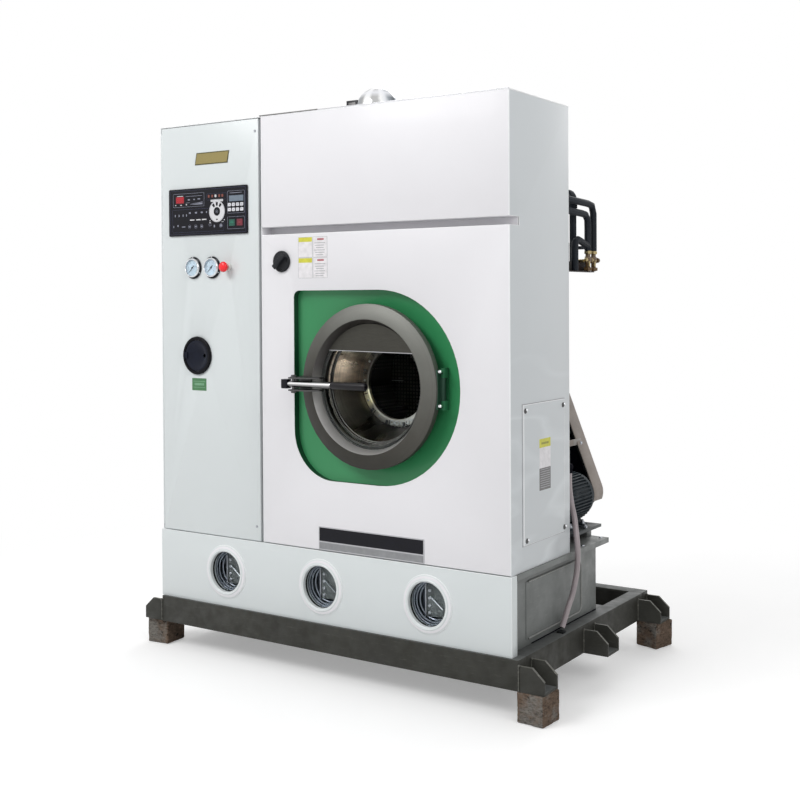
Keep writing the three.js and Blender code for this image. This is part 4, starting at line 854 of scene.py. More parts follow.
def makeLamps():
    for name, (place, target, size, power) in studio["lamps"].items():
        data = bpy.data.lights.new(name, "AREA")
        data.shape = "RECTANGLE"
        data.size, data.size_y = size
        data.energy = power
        lamp = bpy.data.objects.new(name, data)
        bpy.context.scene.collection.objects.link(lamp)
        lamp.location = at(*place)
        aim = at(*target) - lamp.location
        lamp.rotation_euler = aim.to_track_quat("-Z", "Y").to_euler()


makeWorld()
makeFloor()
makeLamps()
print("stage and light set")

roundedEdges = {
    "whiteEnamel": ["upper_front_panel", "lower_front_panel", "roof_panel"],
    "coolEnamel": ["control_door", "skirt_panel"],
    "sideEnamel": ["left_side_panel", "right_side_panel", "rear_panel", "access_cover"],
    "framePaint": ["frame_front_rail", "frame_rear_rail", "frame_left_rail", "frame_right_rail",
                   "frame_cross_member"],
    "tankPaint": ["solvent_tank", "motor_slide_base"],
    "galvanisedSheet": ["partition_panel"],
    "greenEnamel": ["door_surround"],
    "castIron": ["bearing_housing", "drum_pulley", "motor_pulley"],
    "bracketSteel": ["latch_keeper", "latch_bracket"],
    "blackPlastic": ["roof_box", "rotary_knob", "gauge_needle_left", "gauge_needle_right"],
    "bracketBrown": ["valve_bracket"],
    "flapBlue": ["inspection_flap"],
    "flapBlack": ["flap_ring"],
    "redPlastic": ["emergency_stop_button"],
    "paleCollar": ["emergency_stop_collar"],
    "valveBrass": ["brass_valves", "valve_knob"],
    "darkAndShade": ["hose_barb"],
    "pipeFoam": ["insulated_pipes"],
    "blackRubber": ["drive_belt"],
    "doorSteel": ["door_ring"],
    "innerSteel": ["drum_shell", "throat_cone"],
    "shieldSteel": ["throat_shield"],
    "blackGloss": ["control_panel"],
}


guardOpenBelow = 583     # the belt guard's sheet is open at the bottom


# White sheet gets a wider rounded edge in a paler enamel, a painted highlight.
def dressCadPieces():
    for finishName, nodes in roundedEdges.items():
        pale = edgeHighlightEnamel if finishName in ("whiteEnamel", "coolEnamel", "sideEnamel") else None
        for node in nodes:
            softened(node, bpy.data.materials[finishName], 1.8 if pale else softening["width"], pale)
    softened("belt_guard", guardPaint, 1, openBelow=guardOpenBelow)
    softened("door_hinge", hingeSteel, 0.2)
    plain = [(node, portholePane) for node in cadNodes if node.startswith("porthole_glass")]
    for node, material in plain + [("door_glass", doorPane), ("drum_cage", drumSteel)]:
        cadNodes[node].data.materials.clear()
        cadNodes[node].data.materials.append(material)


dressCadPieces()
print("cad pieces dressed")


# Rounded plates lying on a front face: each is (x, z, width, height), in millimetres.
def plateSet(name, plates, front, back, corner=1.0):
    return prismSet(name, [roundedOutline(*plate, corner) for plate in plates], front, back)


def roundedOutline(x, z, width, height, corner, arcSteps=4):
    corner = min(corner, width / 2 - 0.01, height / 2 - 0.01)
    points = []
    for quarter, (sideX, sideZ) in enumerate([(1, 1), (-1, 1), (-1, -1), (1, -1)]):
        middleX = x + sideX * (width / 2 - corner)
        middleZ = z + sideZ * (height / 2 - corner)
        turns = [90 * (quarter + step / arcSteps) for step in range(arcSteps + 1)]
        points += [around(middleX, middleZ, corner, turn) for turn in turns]
    return points


def addPrism(bm, points, front, back):
    near, far = ([bm.verts.new(at(x, y, z)) for x, z in points] for y in (front, back))
    bm.faces.new(near)
    bm.faces.new(reversed(far))
    for i in range(len(points)):
        j = (i + 1) % len(points)
        bm.faces.new((near[i], far[i], far[j], near[j]))


# A flat loop between two outlines of as many points each.
def addLoop(bm, outer, inner, front, back):
    bandFaces(bm, [
        [bm.verts.new(at(x, y, z)) for x, z in points]
        for points, y in ((outer, front), (inner, front), (inner, back), (outer, back))
    ])


# Rounded frame lines: each is (x, z, width, height) of the line's outside.
def lineSet(name, frames, line, front, back, corner=4):
    bm = bmesh.new()
    for x, z, width, height in frames:
        outer = roundedOutline(x, z, width, height, corner)
        inner = roundedOutline(x, z, width - 2 * line, height - 2 * line, max(corner - line, 0.3))
        addLoop(bm, outer, inner, front, back)
    return newPiece(name, bm)


# Discs or rings on a front face: each is (x, z, radius), or (x, z, radius, bore).
def discSet(name, discs, front, back, steps=32):
    bm = bmesh.new()
    for x, z, *radii in discs:
        circles = [[around(x, z, radius, 360 * i / steps) for i in range(steps)] for radius in radii]
        (addLoop if len(circles) > 1 else addPrism)(bm, *circles, front, back)
    return newPiece(name, bm)


# An outline of (reach, side) points about (x, z), turned by some degrees.
def turnedOutline(x, z, turn, points):
    c, s = around(0, 0, 1, turn)
    return [(x + reach * c - side * s, z + reach * s + side * c) for reach, side in points]


# Prisms with any outline: each is a list of (x, z) points.
def prismSet(name, outlines, front, back):
    bm = bmesh.new()
    for points in outlines:
        addPrism(bm, points, front, back)
    return newPiece(name, bm)


# Digits as raised print: each is (text, x, z, height).
def numberSet(name, words, front, thickness=0.15):
    bm = bmesh.new()
    for text, x, z, height in words:
        curve = bpy.data.curves.new("digits", "FONT")
        curve.body = text
        curve.size = height / 1000
        curve.align_x = "CENTER"
        curve.align_y = "CENTER"
        curve.extrude = thickness / 2000
        word = bpy.data.objects.new("digits", curve)
        bpy.context.scene.collection.objects.link(word)
        bpy.context.view_layer.update()
        mesh = bpy.data.meshes.new_from_object(word)
        mesh.transform(Matrix.Translation(at(x, front, z)) @ Matrix.Rotation(math.radians(90), 4, "X"))
        bm.from_mesh(mesh)
        bpy.data.objects.remove(word)
        bpy.data.meshes.remove(mesh)
    return newPiece(name, bm)


panelLook = {
    "front": -6.3,
    "rise": 0.35,
    "keyRise": 1.2,
    "frameLine": 1.0,
    "frames": ((-631.5, 1740, 165, 52), (-386, 1722.5, 87, 84), (-386.5, 1645, 87, 46)),
    "outerLine": 0.7,
    "outerFrames": ((-534.5, 1693.5, 392, 168), (-583, 1661, 270, 88), (-484.5, 1747, 104, 24)),
    "digitsAt": (-690, -677.5, -665),
    "keyColumns": (-419, -398.3, -377.6, -357),
    "keyRows": (1713, 1694.5),
    "startKey": (-407, 1646, 29, 25),
    "stopKey": (-368, 1646, 29, 25),
    "marks": (
        (-603.5, 1754.6, 87, 1.4), (-635.5, 1730, 21, 1.3), (-630, 1741.5, 11, 5), (-602, 1741.5, 8, 5),
        (-577, 1742.5, 14, 4), (-625, 1690.5, 10, 6), (-592, 1690.5, 11, 6), (-562, 1690.5, 11, 6),
        (-537, 1690.5, 6, 6), (-703, 1682, 4.5, 9), (-683, 1682, 4.5, 9), (-661, 1682, 4.5, 9),
        (-643, 1682, 4.5, 9), (-627, 1637.5, 9, 5), (-594, 1637.5, 9, 5), (-563, 1637.5, 9, 5),
        (-689, 1643, 6, 7), (-659, 1638, 18, 3.5), (-712, 1640, 4, 8), (-497, 1636, 7, 9), (-463, 1637, 11, 8),
    ),
    "paleMarks": (
        (-613, 1663, 24, 4.4), (-580, 1663, 24, 4.4), (-550, 1663, 24, 4.4), (-701, 1722.5, 6, 3.5),
        (-672, 1722, 9, 3.5), (-643, 1723, 5, 4.5), (-519, 1657, 4, 5), (-519, 1650, 9, 2.4),
        (-446, 1658, 5, 4), (-455, 1651, 12, 1.6),
    ),
    "rings": (
        (-519, 1642, 6, 4.6), (-463, 1637, 7.4, 6.6), (-627, 1637.5, 7.5, 6.8), (-594, 1637.5, 7.5, 6.8),
        (-563, 1637.5, 7.5, 6.8),
    ),
    "wedge": (
        ((-623, 1724.5), (-558, 1731.5), (-558, 1729.5), (-623, 1723.5)),
        ((-620, 1722.5), (-558, 1727.5), (-558, 1721.5), (-590, 1721.5)),
    ),
    "dialCentre": (-482, 1690.5),
    "dialRadius": 40,
    "dialHub": 16,
    "dialWindow": ((21, -3.6), (34, -6), (35.5, 0), (34, 6), (21, 3.6)),    # reach from the dial's middle, and side
}
panelInk = printed("panelInk", (0.23, 0.24, 0.3))
panelPale = printed("panelPale", (0.6, 0.6, 0.62))
panelBlue = printed("panelBlue", (0.035, 0.04, 0.1))
panelRust = printed("panelRust", (0.2, 0.05, 0.035))
ledRed = printed("ledRed", (0.3, 0.003, 0.012))
ledBright = printed("ledBright", (0.62, 0.012, 0.03))
lcdGrey = printed("lcdGrey", (0.13, 0.17, 0.22))
lcdInk = printed("lcdInk", (0.3, 0.35, 0.4))
keyWhite = moulded("keyWhite", (0.72, 0.72, 0.76), 0.35, 300, 0.02)
keyGreen = moulded("keyGreen", (0.006, 0.085, 0.055), 0.3, 300, 0.02)
keyRed = moulded("keyRed", (0.14, 0.01, 0.022), 0.3, 300, 0.02)
dialSilver = brushedSteel("dialSilver", (0.68, 0.68, 0.7), 0.38, (30, 2, 30), 20, 0.04)


def panelPiece(piece, material):
    return finishPiece(piece, material, "control_door")


def makeControlPanel():
    front = panelLook["front"] - panelLook["rise"]
    back = panelLook["front"] + 0.2

    def lay(name, plates, material, corner=1.0, lift=0.0):
        panelPiece(plateSet(name, plates, front - lift, back, corner), material)

    panelPiece(lineSet("panel_frames", panelLook["frames"], panelLook["frameLine"], front, back), panelInk)
    outerLine = lineSet("panel_outer_line", panelLook["outerFrames"], panelLook["outerLine"], front, back)
    panelPiece(outerLine, panelBlue)

    lay("led_window", [(-677.5, 1741.5, 43, 25)], ledRed)
    digits = []
    for x in panelLook["digitsAt"]:
        digits += [(x, z, 7, 1.6) for z in (1750, 1742, 1734)]
        digits += [(x + side, z, 1.6, 6.5) for z in (1746, 1738) for side in (-4, 4)]
    panelPiece(plateSet("led_digits", digits, front - 0.15, front + 0.1, 0.5), ledBright)
    lay("led_caption", [(-677, 1756.8, 34, 2.2)], panelPale)

    lay("panel_marks", panelLook["marks"], panelInk, 1.2)
    lay("panel_pale_marks", panelLook["paleMarks"], panelPale)
    panelPiece(discSet("panel_round_marks", panelLook["rings"], front - 0.05, back), panelInk)
    panelPiece(prismSet("level_wedge", panelLook["wedge"], front, back), panelInk)
    lay("programme_keys", [(x, 1749.5, 9, 10) for x in (-525, -507, -471, -455)], panelRust, 1.5)
    lay("programme_key_lit", [(-490, 1749.5, 9, 10)], panelPale, 1.5)

    lay("display_window", [(-385, 1736, 72, 22)], lcdGrey)
    lay("display_lines", [(-385, z, 64, 0.7) for z in (1743, 1738.5, 1734, 1729.5)], lcdInk, lift=0.1)
    lay("display_caption", [(-387, 1756.5, 60, 2)], panelInk)
    keys = [(x, z, 15.5, 12.5) for z in panelLook["keyRows"] for x in panelLook["keyColumns"]]
    high = panelLook["keyRise"] - panelLook["rise"]
    lay("display_keys", keys, keyWhite, 3, high)
    lay("display_key_marks", [(x, z, 6, 2) for x, z, _, _ in keys], panelInk, 0.8, high + 0.1)
    x, z = panelLook["startKey"][:2]
    lay("start_key", [panelLook["startKey"]], keyGreen, 2, high - 0.4)
    lay("start_key_marks", [(x, z, 17, 2.4), (x, z + 4.5, 11, 2)], printed("startInk", (0.015, 0.2, 0.13)),
        lift=high - 0.3)
    x, z = panelLook["stopKey"][:2]
    lay("stop_key", [panelLook["stopKey"]], keyRed, 2, high - 0.4)
    lay("stop_key_marks", [(x, z, 15, 2.4)], printed("stopInk", (0.33, 0.05, 0.06)), lift=high - 0.3)
    makeDial(front, back)


def makeDial(front, back):
    x, z = panelLook["dialCentre"]
    radius, hub = panelLook["dialRadius"], panelLook["dialHub"]
    panelPiece(plateSet("dial_tabs", [(x - 1.5, z + 41.5, 64, 9)], front + 0.05, back, 2), panelPale)
    panelPiece(discSet("dial_plate", [(x, z, radius, hub + 0.5)], front - 1.4, back, 96), dialSilver)
    panelPiece(discSet("dial_scale", [(x, z, radius - 2.2, radius - 3)], front - 1.5, back, 96), panelInk)
    panelPiece(discSet("dial_hub", [(x, z, hub)], front - 1.9, back, 64), blackGloss)
    panelPiece(discSet("dial_hub_mark", [(x, z, 6, 5), (x, z, 2.2)], front - 2.0, back, 32), panelInk)
    windows = [turnedOutline(x, z, 90 + turn, panelLook["dialWindow"]) for turn in (-36, 0, 36)]
    windows.append([(x - 5, z - 31), (x, z - 26), (x + 5, z - 31), (x, z - 33)])
    panelPiece(prismSet("dial_windows", windows, front - 1.6, back), blackGloss)


makeControlPanel()
print("control panel made")

gauge = {
    "centres": {"left": (-613, 1480), "right": (-515, 1480)},
    "flange": ((34, 29.5), (34, 0.0), (42, -0.3), (42, -2.6), (41, -4), (36.6, -4), (33, -4), (30, -2), (30, 29.5)),
    "bezel": ((36.5, -3.8), (36.5, -10.5), (36, -12.4), (34.8, -13.8), (33.4, -14), (31.6, -13.4), (31, -12.4),
              (31, -6.8), (33, -4)),
    "lens": ((0, -11.9), (31, -11.4), (31, -10.6), (0, -11.1)),
    "dialRadius": 31.4,
    "dialFront": -7,
    "start": 225,            # degrees, where the scale starts
    "sweep": 270,
    "marks": 50,
    "longTick": (24.4, 0.42),    # its inner end and half its width
    "shortTick": (26.4, 0.2),
    "tickEnd": 28.6,
    "numberReach": 19.4,
    "numberHeight": 6,
    "screwReach": 39.3,
    "screwTurns": (90, 210, 330),
}
dialFace = printed("dialFace", (0.53, 0.62, 0.72), 0.4)
dialInk = printed("dialInk", (0.03, 0.05, 0.09))


def gaugePiece(piece, material, nodes=()):
    return finishPiece(piece, material, "control_door", nodes)


def makeGauge(side):
    x, z = gauge["centres"][side]
    front, end = gauge["dialFront"], gauge["tickEnd"]
    flange = turnedPiece(f"gauge_flange_{side}", gauge["flange"], (x, 0, z), 72)
    gaugePiece(flange, blackGloss, nodes=["pressure_gauge_" + side])
    gaugePiece(turnedPiece(f"gauge_bezel_{side}", gauge["bezel"], (x, 0, z), 72), chromeAndGlint)
    gaugePiece(discSet(f"gauge_dial_{side}", [(x, z, gauge["dialRadius"])], front, -5, 64), dialFace)
    ticks, numbers = [], []
    for i in range(gauge["marks"] + 1):
        turn = gauge["start"] - gauge["sweep"] * i / gauge["marks"]
        inner, half = gauge["longTick" if i % 5 == 0 else "shortTick"]
        ticks.append(turnedOutline(x, z, turn, ((inner, -half), (end, -half), (end, half), (inner, half))))
        if i % 10 == 0:
            numbers.append((str(i // 5), *around(x, z, gauge["numberReach"], turn), gauge["numberHeight"]))
    gaugePiece(prismSet(f"gauge_ticks_{side}", ticks, front - 0.25, front + 0.2), dialInk)
    gaugePiece(numberSet(f"gauge_numbers_{side}", numbers, front - 0.15), dialInk)
    screws = [(*around(x, z, gauge["screwReach"], turn), 2.3) for turn in gauge["screwTurns"]]
    gaugePiece(discSet(f"gauge_screws_{side}", screws, -5.2, -3.5, 16), chromeAndGlint)
    lens = turnedPiece(f"gauge_lens_{side}", gauge["lens"], (x, 0, z), 48, closed=False)
    gaugePiece(lens, doorPane)


for gaugeSide in gauge["centres"]:
    makeGauge(gaugeSide)
print("gauges made")

doorway = {
    "centre": (236, 0, 1055),
    "sides": 128,
    "gasketRibs": (229.5, 225, 221.5, 217, 213, 209.5, 206.5),
    "ribWidth": 1.2,
    "ribFronts": (-0.6, -3.6),
    "gasketBack": ((206.2, 13.2), (222, 15.2), (229.6, 9)),
    "retainer": ((206.5, -1.5), (207.5, -3.7), (205, -3.7), (204.2, 8), (205.4, 8)),
    "throatSteps": ((203.4, 15.4), (201.6, 19), (198.6, 19.6), (197.2, 26), (194.6, 27), (193.6, 27), (193.6, 30),
                    (200, 30)),
    "shieldEdge": ((44, 14.6, 1181.6), (428, 19.4, 1184.4)),
    "mouthRing": ((127.4, 162), (127.4, 148.6), (129.5, 146.6), (133, 146), (149, 147.4), (153.4, 148.4),
                  (153.6, 150.4), (130, 150.4), (130, 162)),
    "clipTurns": range(12, 372, 30),
    "clipReach": (139, 153),
    "boltReach": 141,
    "loopsAt": (-22, 0, 24, 46),
    "wallSeam": ((-58, 521, 1032), (-4, 526.5, 1035)),
    "shadeRadius": 217,
    "shadeLow": (1178, 1173),    # its lower edge's height at the left and the right
    "shadeSteps": 64,
    "hingeBolt": ((0, -9), (4.2, -8), (6, -5), (6, 3), (0, 3)),
    "hingeBoltsAt": ((534, -22, 1116), (534, -22, 1002)),
}


def machinePiece(piece, material, nodes=(), sharp=30):
    return finishPiece(piece, material, "machine", nodes, sharp)


def doorPiece(piece, material, nodes=()):
    return finishPiece(piece, material, "loading_door", nodes)


def drumPiece(piece, material):
    return finishPiece(piece, material, "drum")


# Flat bars from one reach to another round the loading door's axis, between two depths.
def spokes(name, turns, inner, outer, width, front, back):
    x, _, z = doorway["centre"]
    bar = [(inner, -width / 2), (outer, -width / 2), (outer, width / 2), (inner, width / 2)]
    return prismSet(name, [turnedOutline(x, z, turn, bar) for turn in turns], front, back)


def makeDoorway():
    centre, sides, turns = doorway["centre"], doorway["sides"], doorway["clipTurns"]
    x, _, z = centre
    ribs = []
    for i, radius in enumerate(doorway["gasketRibs"]):
        depth = doorway["ribFronts"][i % 2]
        ribs += [(radius, depth), (radius - doorway["ribWidth"], depth)]
    gasket = turnedPiece("gasket_ribbed", ribs + list(doorway["gasketBack"]), centre, sides)
    doorPiece(gasket, gasketGrey, ["door_gasket"])
    doorPiece(turnedPiece("gasket_retainer", doorway["retainer"], centre, sides), stepSteel)
    machinePiece(turnedPiece("throat_steps", doorway["throatSteps"], centre, sides), stepSteel)
    machinePiece(slabPiece("shield_edge", *doorway["shieldEdge"], 0.5), bracketSteel)
    drumPiece(turnedPiece("drum_mouth_ring", doorway["mouthRing"], centre, sides), mouthSteel)
    inner, outer = doorway["clipReach"]
    drumPiece(spokes("drum_mouth_clips", turns, inner, outer, 8, 143.5, 148), castIron)
    slots = spokes("drum_mouth_slots", [turn + 4.5 for turn in turns], inner - 4, outer + 1, 3, 145.6, 148)
    drumPiece(slots, blackPlastic)
    reach = doorway["boltReach"]
    bolts = [(*around(x, z, reach, turn + 15), 4) for turn in turns]
    drumPiece(discSet("drum_mouth_bolts", bolts, 142.6, 148, 16), rodSteel)
    loops = [(x + side, z - math.sqrt(reach ** 2 - side ** 2), 8.5, 6.4) for side in doorway["loopsAt"]]
    drumPiece(discSet("drum_mouth_loops", loops, 144.2, 147.6, 24), rodSteel)
    drumPiece(slabPiece("drum_wall_seam", *doorway["wallSeam"], 0.5), rodSteel)
    makeShade(x, z)
    heads = [turnedPiece("head", doorway["hingeBolt"], place, 20, False) for place in doorway["hingeBoltsAt"]]
    machinePiece(joined("hinge_bolt_heads", heads), chromeAndGlint)


# The thin plate across the top of the door's glass, with a painted highlight strip along its lower edge.
def makeShade(x, z):
    radius, steps = doorway["shadeRadius"], doorway["shadeSteps"]
    leftEnd, rightEnd = (math.degrees(math.asin((low - z) / radius)) for low in doorway["shadeLow"])
    sweep = 180 - leftEnd - rightEnd
    outline = [around(x, z, radius, rightEnd + sweep * step / steps) for step in range(steps + 1)]
    doorPiece(prismSet("door_shade_plate", [outline], -12.6, -11.2), shieldSteel)
    (rightX, rightZ), (leftX, leftZ) = outline[0], outline[-1]
    strip = [(leftX, leftZ - 1.4), (rightX, rightZ - 1.4), (rightX, rightZ + 0.8), (leftX, leftZ + 0.8)]
    doorPiece(prismSet("door_shade_highlight", [strip], -13.2, -11), silverAndHighlight)


makeDoorway()

lever = {
    "axis": (0, -90, 1060),
    "pivot": -40,
    "block": ((-88, -103, 1043.5), (-61, -77, 1076.5)),
    "bar": ((0, -60), (10.6, -60), (11, -58), (11, 106), (12.6, 107), (12.6, 128), (11, 129.2), (0, 129.2)),
    "grip": ((0, 129.4), (11.2, 129.4), (12.2, 132), (13.2, 200), (13.9, 262), (13.7, 270), (12.4, 275.5),
             (9.6, 278), (4.6, 278), (4.2, 270), (0, 270)),
    "pinRise": 24.2,
    "pinHead": ((0, 0), (9.5, 0), (9.5, 6.5), (8.3, 7.6), (0, 7.6)),
    "washer": ((0, 0), (13, 0), (13, 1.6), (0, 1.6)),
}


def leverPiece(piece, material, nodes=()):
    return finishPiece(piece, material, "latch_lever", nodes)


def makeLever():
    _, y, z = axis = lever["axis"]
    leverPiece(slabPiece("lever_block", *lever["block"], 2.5, 3), blackGloss, ["latch_lever"])
    leverPiece(turnedPiece("lever_bar", lever["bar"], axis, 40, False, "X"), leverChrome)
    leverPiece(turnedPiece("lever_grip", lever["grip"], axis, 40, False, "X"), gripPlastic)
    pins = []
    for side in (-1, 1):
        end = z + side * lever["pinRise"]
        for profile, sides, sunk in ((lever["pinHead"], 6, 0), (lever["washer"], 32, 0.1)):
            shape = [(radius, rise * side) for radius, rise in profile]
            pins.append(turnedPiece("pin", shape, (lever["pivot"], y, end - sunk * side), sides, False, "Z"))
    doorPiece(joined("lever_pin_heads", pins), bracketSteel)


makeLever()
print("doorway and lever made")

porthole = {
    "centres": (-451, 6, 466),
    "z": 331,
    "bezel": ((99.6, -4.9), (99.6, -6.6), (98, -8), (95, -9.3), (91, -10.4), (87.6, -11.2), (85.4, -11.4),
              (84, -11), (82.6, -9.6), (81.4, -8.8), (80.4, -8.4), (79.2, -6.6), (77.8, -4), (77, -2), (76.7, 0.5),
              (77, 3), (79, 9.6)),
    "seal": ((75.9, 1.6), (74.8, 3), (74.6, 9.7), (76.2, 9.7)),
    "neck": ((75.4, 16.5), (75.2, 21), (71.5, 22.5), (71, 25), (70.6, 30), (66.5, 31.5), (66, 34), (65.8, 44),
             (62, 46), (61.8, 66), (0, 66), (0, 69), (75.6, 69), (75.6, 16.5)),
    "baffle": ((-34, 42, -54), (60, 46, 54)),    # from the porthole's middle, as what follows
    "baffleEdge": ((-39, 37, -56), (-34, 47, 56)),
    "rod": ((-18, 39, 14), (40, 30, -22)),
    "rodRadius": 2.4,
    "rivet": ((0, -4), (4, -4), (6, -2), (6, 3), (0, 3)),
    "rivetsAt": ((-22, 42, 34), (-22, 42, 8), (-22, 42, -18), (-22, 42, -42)),
}


def makePortholes():
    z = porthole["z"]
    bezels, seals, necks, panes, strips, rivets, rods = [], [], [], [], [], [], []
    for x in porthole["centres"]:
        bezels.append(turnedPiece("bezel", porthole["bezel"], (x, 0, z), 96))
        seals.append(turnedPiece("seal", porthole["seal"], (x, 0, z), 96))
        necks.append(turnedPiece("neck", porthole["neck"], (x, 0, z), 96, False))
        panes.append(slabPiece("pane", *shifted(porthole["baffle"], x, z), 0.8))
        strips.append(slabPiece("strip", *shifted(porthole["baffleEdge"], x, z), 1))
        for place in shifted(porthole["rivetsAt"], x, z):
            rivets.append(turnedPiece("rivet", porthole["rivet"], place, 20, False))
        rods.append(roundBar("rod", shifted(porthole["rod"], x, z), porthole["rodRadius"], 12))
    machinePiece(joined("porthole_bezels", bezels), whiteEnamel, (), 40)
    machinePiece(joined("porthole_seals", seals), blackRubber)
    machinePiece(joined("porthole_necks", necks), neckSteel)
    machinePiece(joined("porthole_baffles", panes), baffleSteel)
    machinePiece(joined("porthole_baffle_edges", strips), silverAndHighlight)
    machinePiece(joined("porthole_baffle_rivets", rivets), silverAndHighlight)
    machinePiece(joined("porthole_float_rods", rods), rodSteel)


makePortholes()
print("portholes made")

labels = {
    "badge": (-513, 1895, 178, 46),
    "badgeLean": 9,
    "badgeFace": (0.955, 0.84),       # shares of the badge's width and height
    "nameplate": (223.5, 505.5, 455, 83),
    "greenLabel": (-588.5, 1033.5, 75, 47),
    "greenLines": ((-588.5, 1045, 62, 2.5), (-588.5, 1022, 62, 2.2), (-588.5, 1034, 50, 9)),
    "stickerColumns": ((-58.5, 66), (9.5, 65)),
    "stickerRows": ((1544, 73), (1469.5, 73)),
    "header": 16,
    "sideLabel": (185, 264, 712, 885),
    "sideBands": (0.43, 0.83),        # heights where the side label's grey and white bands end, as shares
}


def makeBadge():
    x, z, width, height = labels["badge"]
    lean, (shareX, shareZ) = labels["badgeLean"], labels["badgeFace"]
    outline = [(x - width / 2, z - height / 2), (x + width / 2 - lean, z - height / 2),
               (x + width / 2, z + height / 2), (x - width / 2 + lean, z + height / 2)]
    inner = [(x + (a - x) * shareX, z + (b - z) * shareZ) for a, b in outline]
    finishPiece(prismSet("badge_plate", [outline], -1.2, 0.2), badgeEdge, "control_door")
    finishPiece(prismSet("badge_face", [inner], -1.6, -1), badgeGold, "control_door")


def makeLabels():
    x, z, width, height = labels["nameplate"]
    machinePiece(plateSet("nameplate", [labels["nameplate"]], -1.8, 0.2, 2), silverAndHighlight)
    dark, grey = (x, z + 14, width - 7, height - 35), (x, z - 26, width - 7, 24)
    machinePiece(plateSet("nameplate_dark_band", [dark], -2.1, -1.5, 1), blackGloss)
    machinePiece(plateSet("nameplate_grey_band", [grey], -2.1, -1.5, 1), plateGrey)
    greenPlate = plateSet("green_label", [labels["greenLabel"]], -0.5, 0.2, 1)
    finishPiece(greenPlate, labelGreen, "control_door")
    greenLines = plateSet("green_label_lines", labels["greenLines"], -0.6, -0.3, 1)
    finishPiece(greenLines, printed("labelGreenPale", (0.16, 0.34, 0.2)), "control_door")
    sheets, edges, yellow, red, lines = [], [], [], [], []
    for column, (sx, sw) in enumerate(labels["stickerColumns"]):
        for sz, sh in labels["stickerRows"]:
            sheets.append((sx, sz, sw - 1, sh - 1))
            edges.append((sx, sz, sw, sh))
            header = (sx, sz + sh / 2 - 9.5, sw - 4, labels["header"])
            if column == 0:
                yellow.append(header)
                continue
            red.append((sx + 2, header[1], sw * 0.46, 6))
            lines += [(sx - 1 - 2 * (i % 2), sz + 14 - 8.5 * i, sw - 16 - 7 * (i % 3), 2.2) for i in range(6)]
    machinePiece(plateSet("sticker_sheets", sheets, -0.35, 0.2, 1.5), labelWhite)
    machinePiece(lineSet("sticker_edges", edges, 0.9, -0.45, 0.1, 2), lineGreyAndShadow)
    machinePiece(plateSet("sticker_yellow_bars", yellow, -0.55, -0.2, 1), labelYellow)
    machinePiece(plateSet("sticker_red_bars", red, -0.55, -0.2, 1), labelRed)
    machinePiece(plateSet("sticker_grey_lines", lines, -0.45, -0.2, 0.5), lineGreyAndShadow)


makeBadge()
makeLabels()

cover = {
    "face": 792,
    "low": (76, 545),
    "high": (372, 1008),
    "seam": 1.6,
    "screws": ((90, 988), (357, 987), (98, 560), (365, 561)),
    "head": ((0, 5.2), (2.2, 5.2), (2.6, 3.6), (6.2, 3.3), (8.6, 1.6), (9, 0), (0, 0)),
    "glintCap": ((0, 3), (2.6, 2.4), (4.4, 0.6), (4.4, -2), (0, -2)),
    "doorScrews": ((-295, 1979), (-299, 516)),
}


# A thin plate on the access cover's face.
def sidePlate(name, y0, y1, z0, z1, rise=0.4, rounding=0.25):
    return slabPiece(name, (cover["face"] - 0.3, y0, z0), (cover["face"] + rise, y1, z1), rounding, 1)


def makeSideLabel():
    y0, y1, z0, z1 = labels["sideLabel"]
    greyTop, whiteTop = (z0 + share * (z1 - z0) for share in labels["sideBands"])
    machinePiece(sidePlate("side_label_yellow", y0, y1, whiteTop, z1), labelYellow)
    machinePiece(sidePlate("side_label_white", y0, y1, greyTop, whiteTop), labelWhite)
    machinePiece(sidePlate("side_label_grey", y0, y1, z0, greyTop), labelGreyAndShade)
    bars = [sidePlate("bar", y0 + 6, y1 - 6, z0 + 8 + 7.5 * i, z0 + 10.5 + 7.5 * i, 0.5, 0) for i in range(9)]
    machinePiece(joined("side_label_lines", bars), lineGreyAndShadow)
    mark = sidePlate("side_label_mark", y0 + 14, y1 - 14, z1 - 19, z1 - 12, 0.5, 0)
    machinePiece(mark, labelOlive)


def makeCover():
    face, seam = cover["face"], cover["seam"]
    heads, tops = [], []
    for y, z in cover["screws"]:
        heads.append(turnedPiece("head", cover["head"], (face - 0.2, y, z), 24, False, "X"))
        # A small bright cap set off each head's middle is a painted glint.
        tops.append(turnedPiece("top", cover["glintCap"], (face + 4, y + 3.4, z + 2.6), 20, False, "X"))
    machinePiece(joined("cover_screws", heads), bracketSteel)
    machinePiece(joined("cover_screw_glints", tops), chromeAndGlint)
    # A painted shadow line runs in the gap round the cover.
    (y0, z0), (y1, z1) = cover["low"], cover["high"]
    strips = ((y0 - seam, z0 - seam, y0, z1 + seam), (y0 - seam, z1, y1 + seam, z1 + 1.8),
              (y0 - seam, z0 - 1.8, y1 + seam, z0), (y1, z0 - seam, y1 + 1.2, z1 + seam))
    lines = [slabPiece("line", (787.5, a, b), (789.2, c, d), 0) for a, b, c, d in strips]
    machinePiece(joined("cover_shadow_line", lines), lineGreyAndShadow)
    screws = discSet("control_door_screws", [(x, z, 5) for x, z in cover["doorScrews"]], -1.6, 0.2, 20)
    finishPiece(screws, screwSteel, "control_door")


makeSideLabel()
makeCover()
print("labels and cover made")

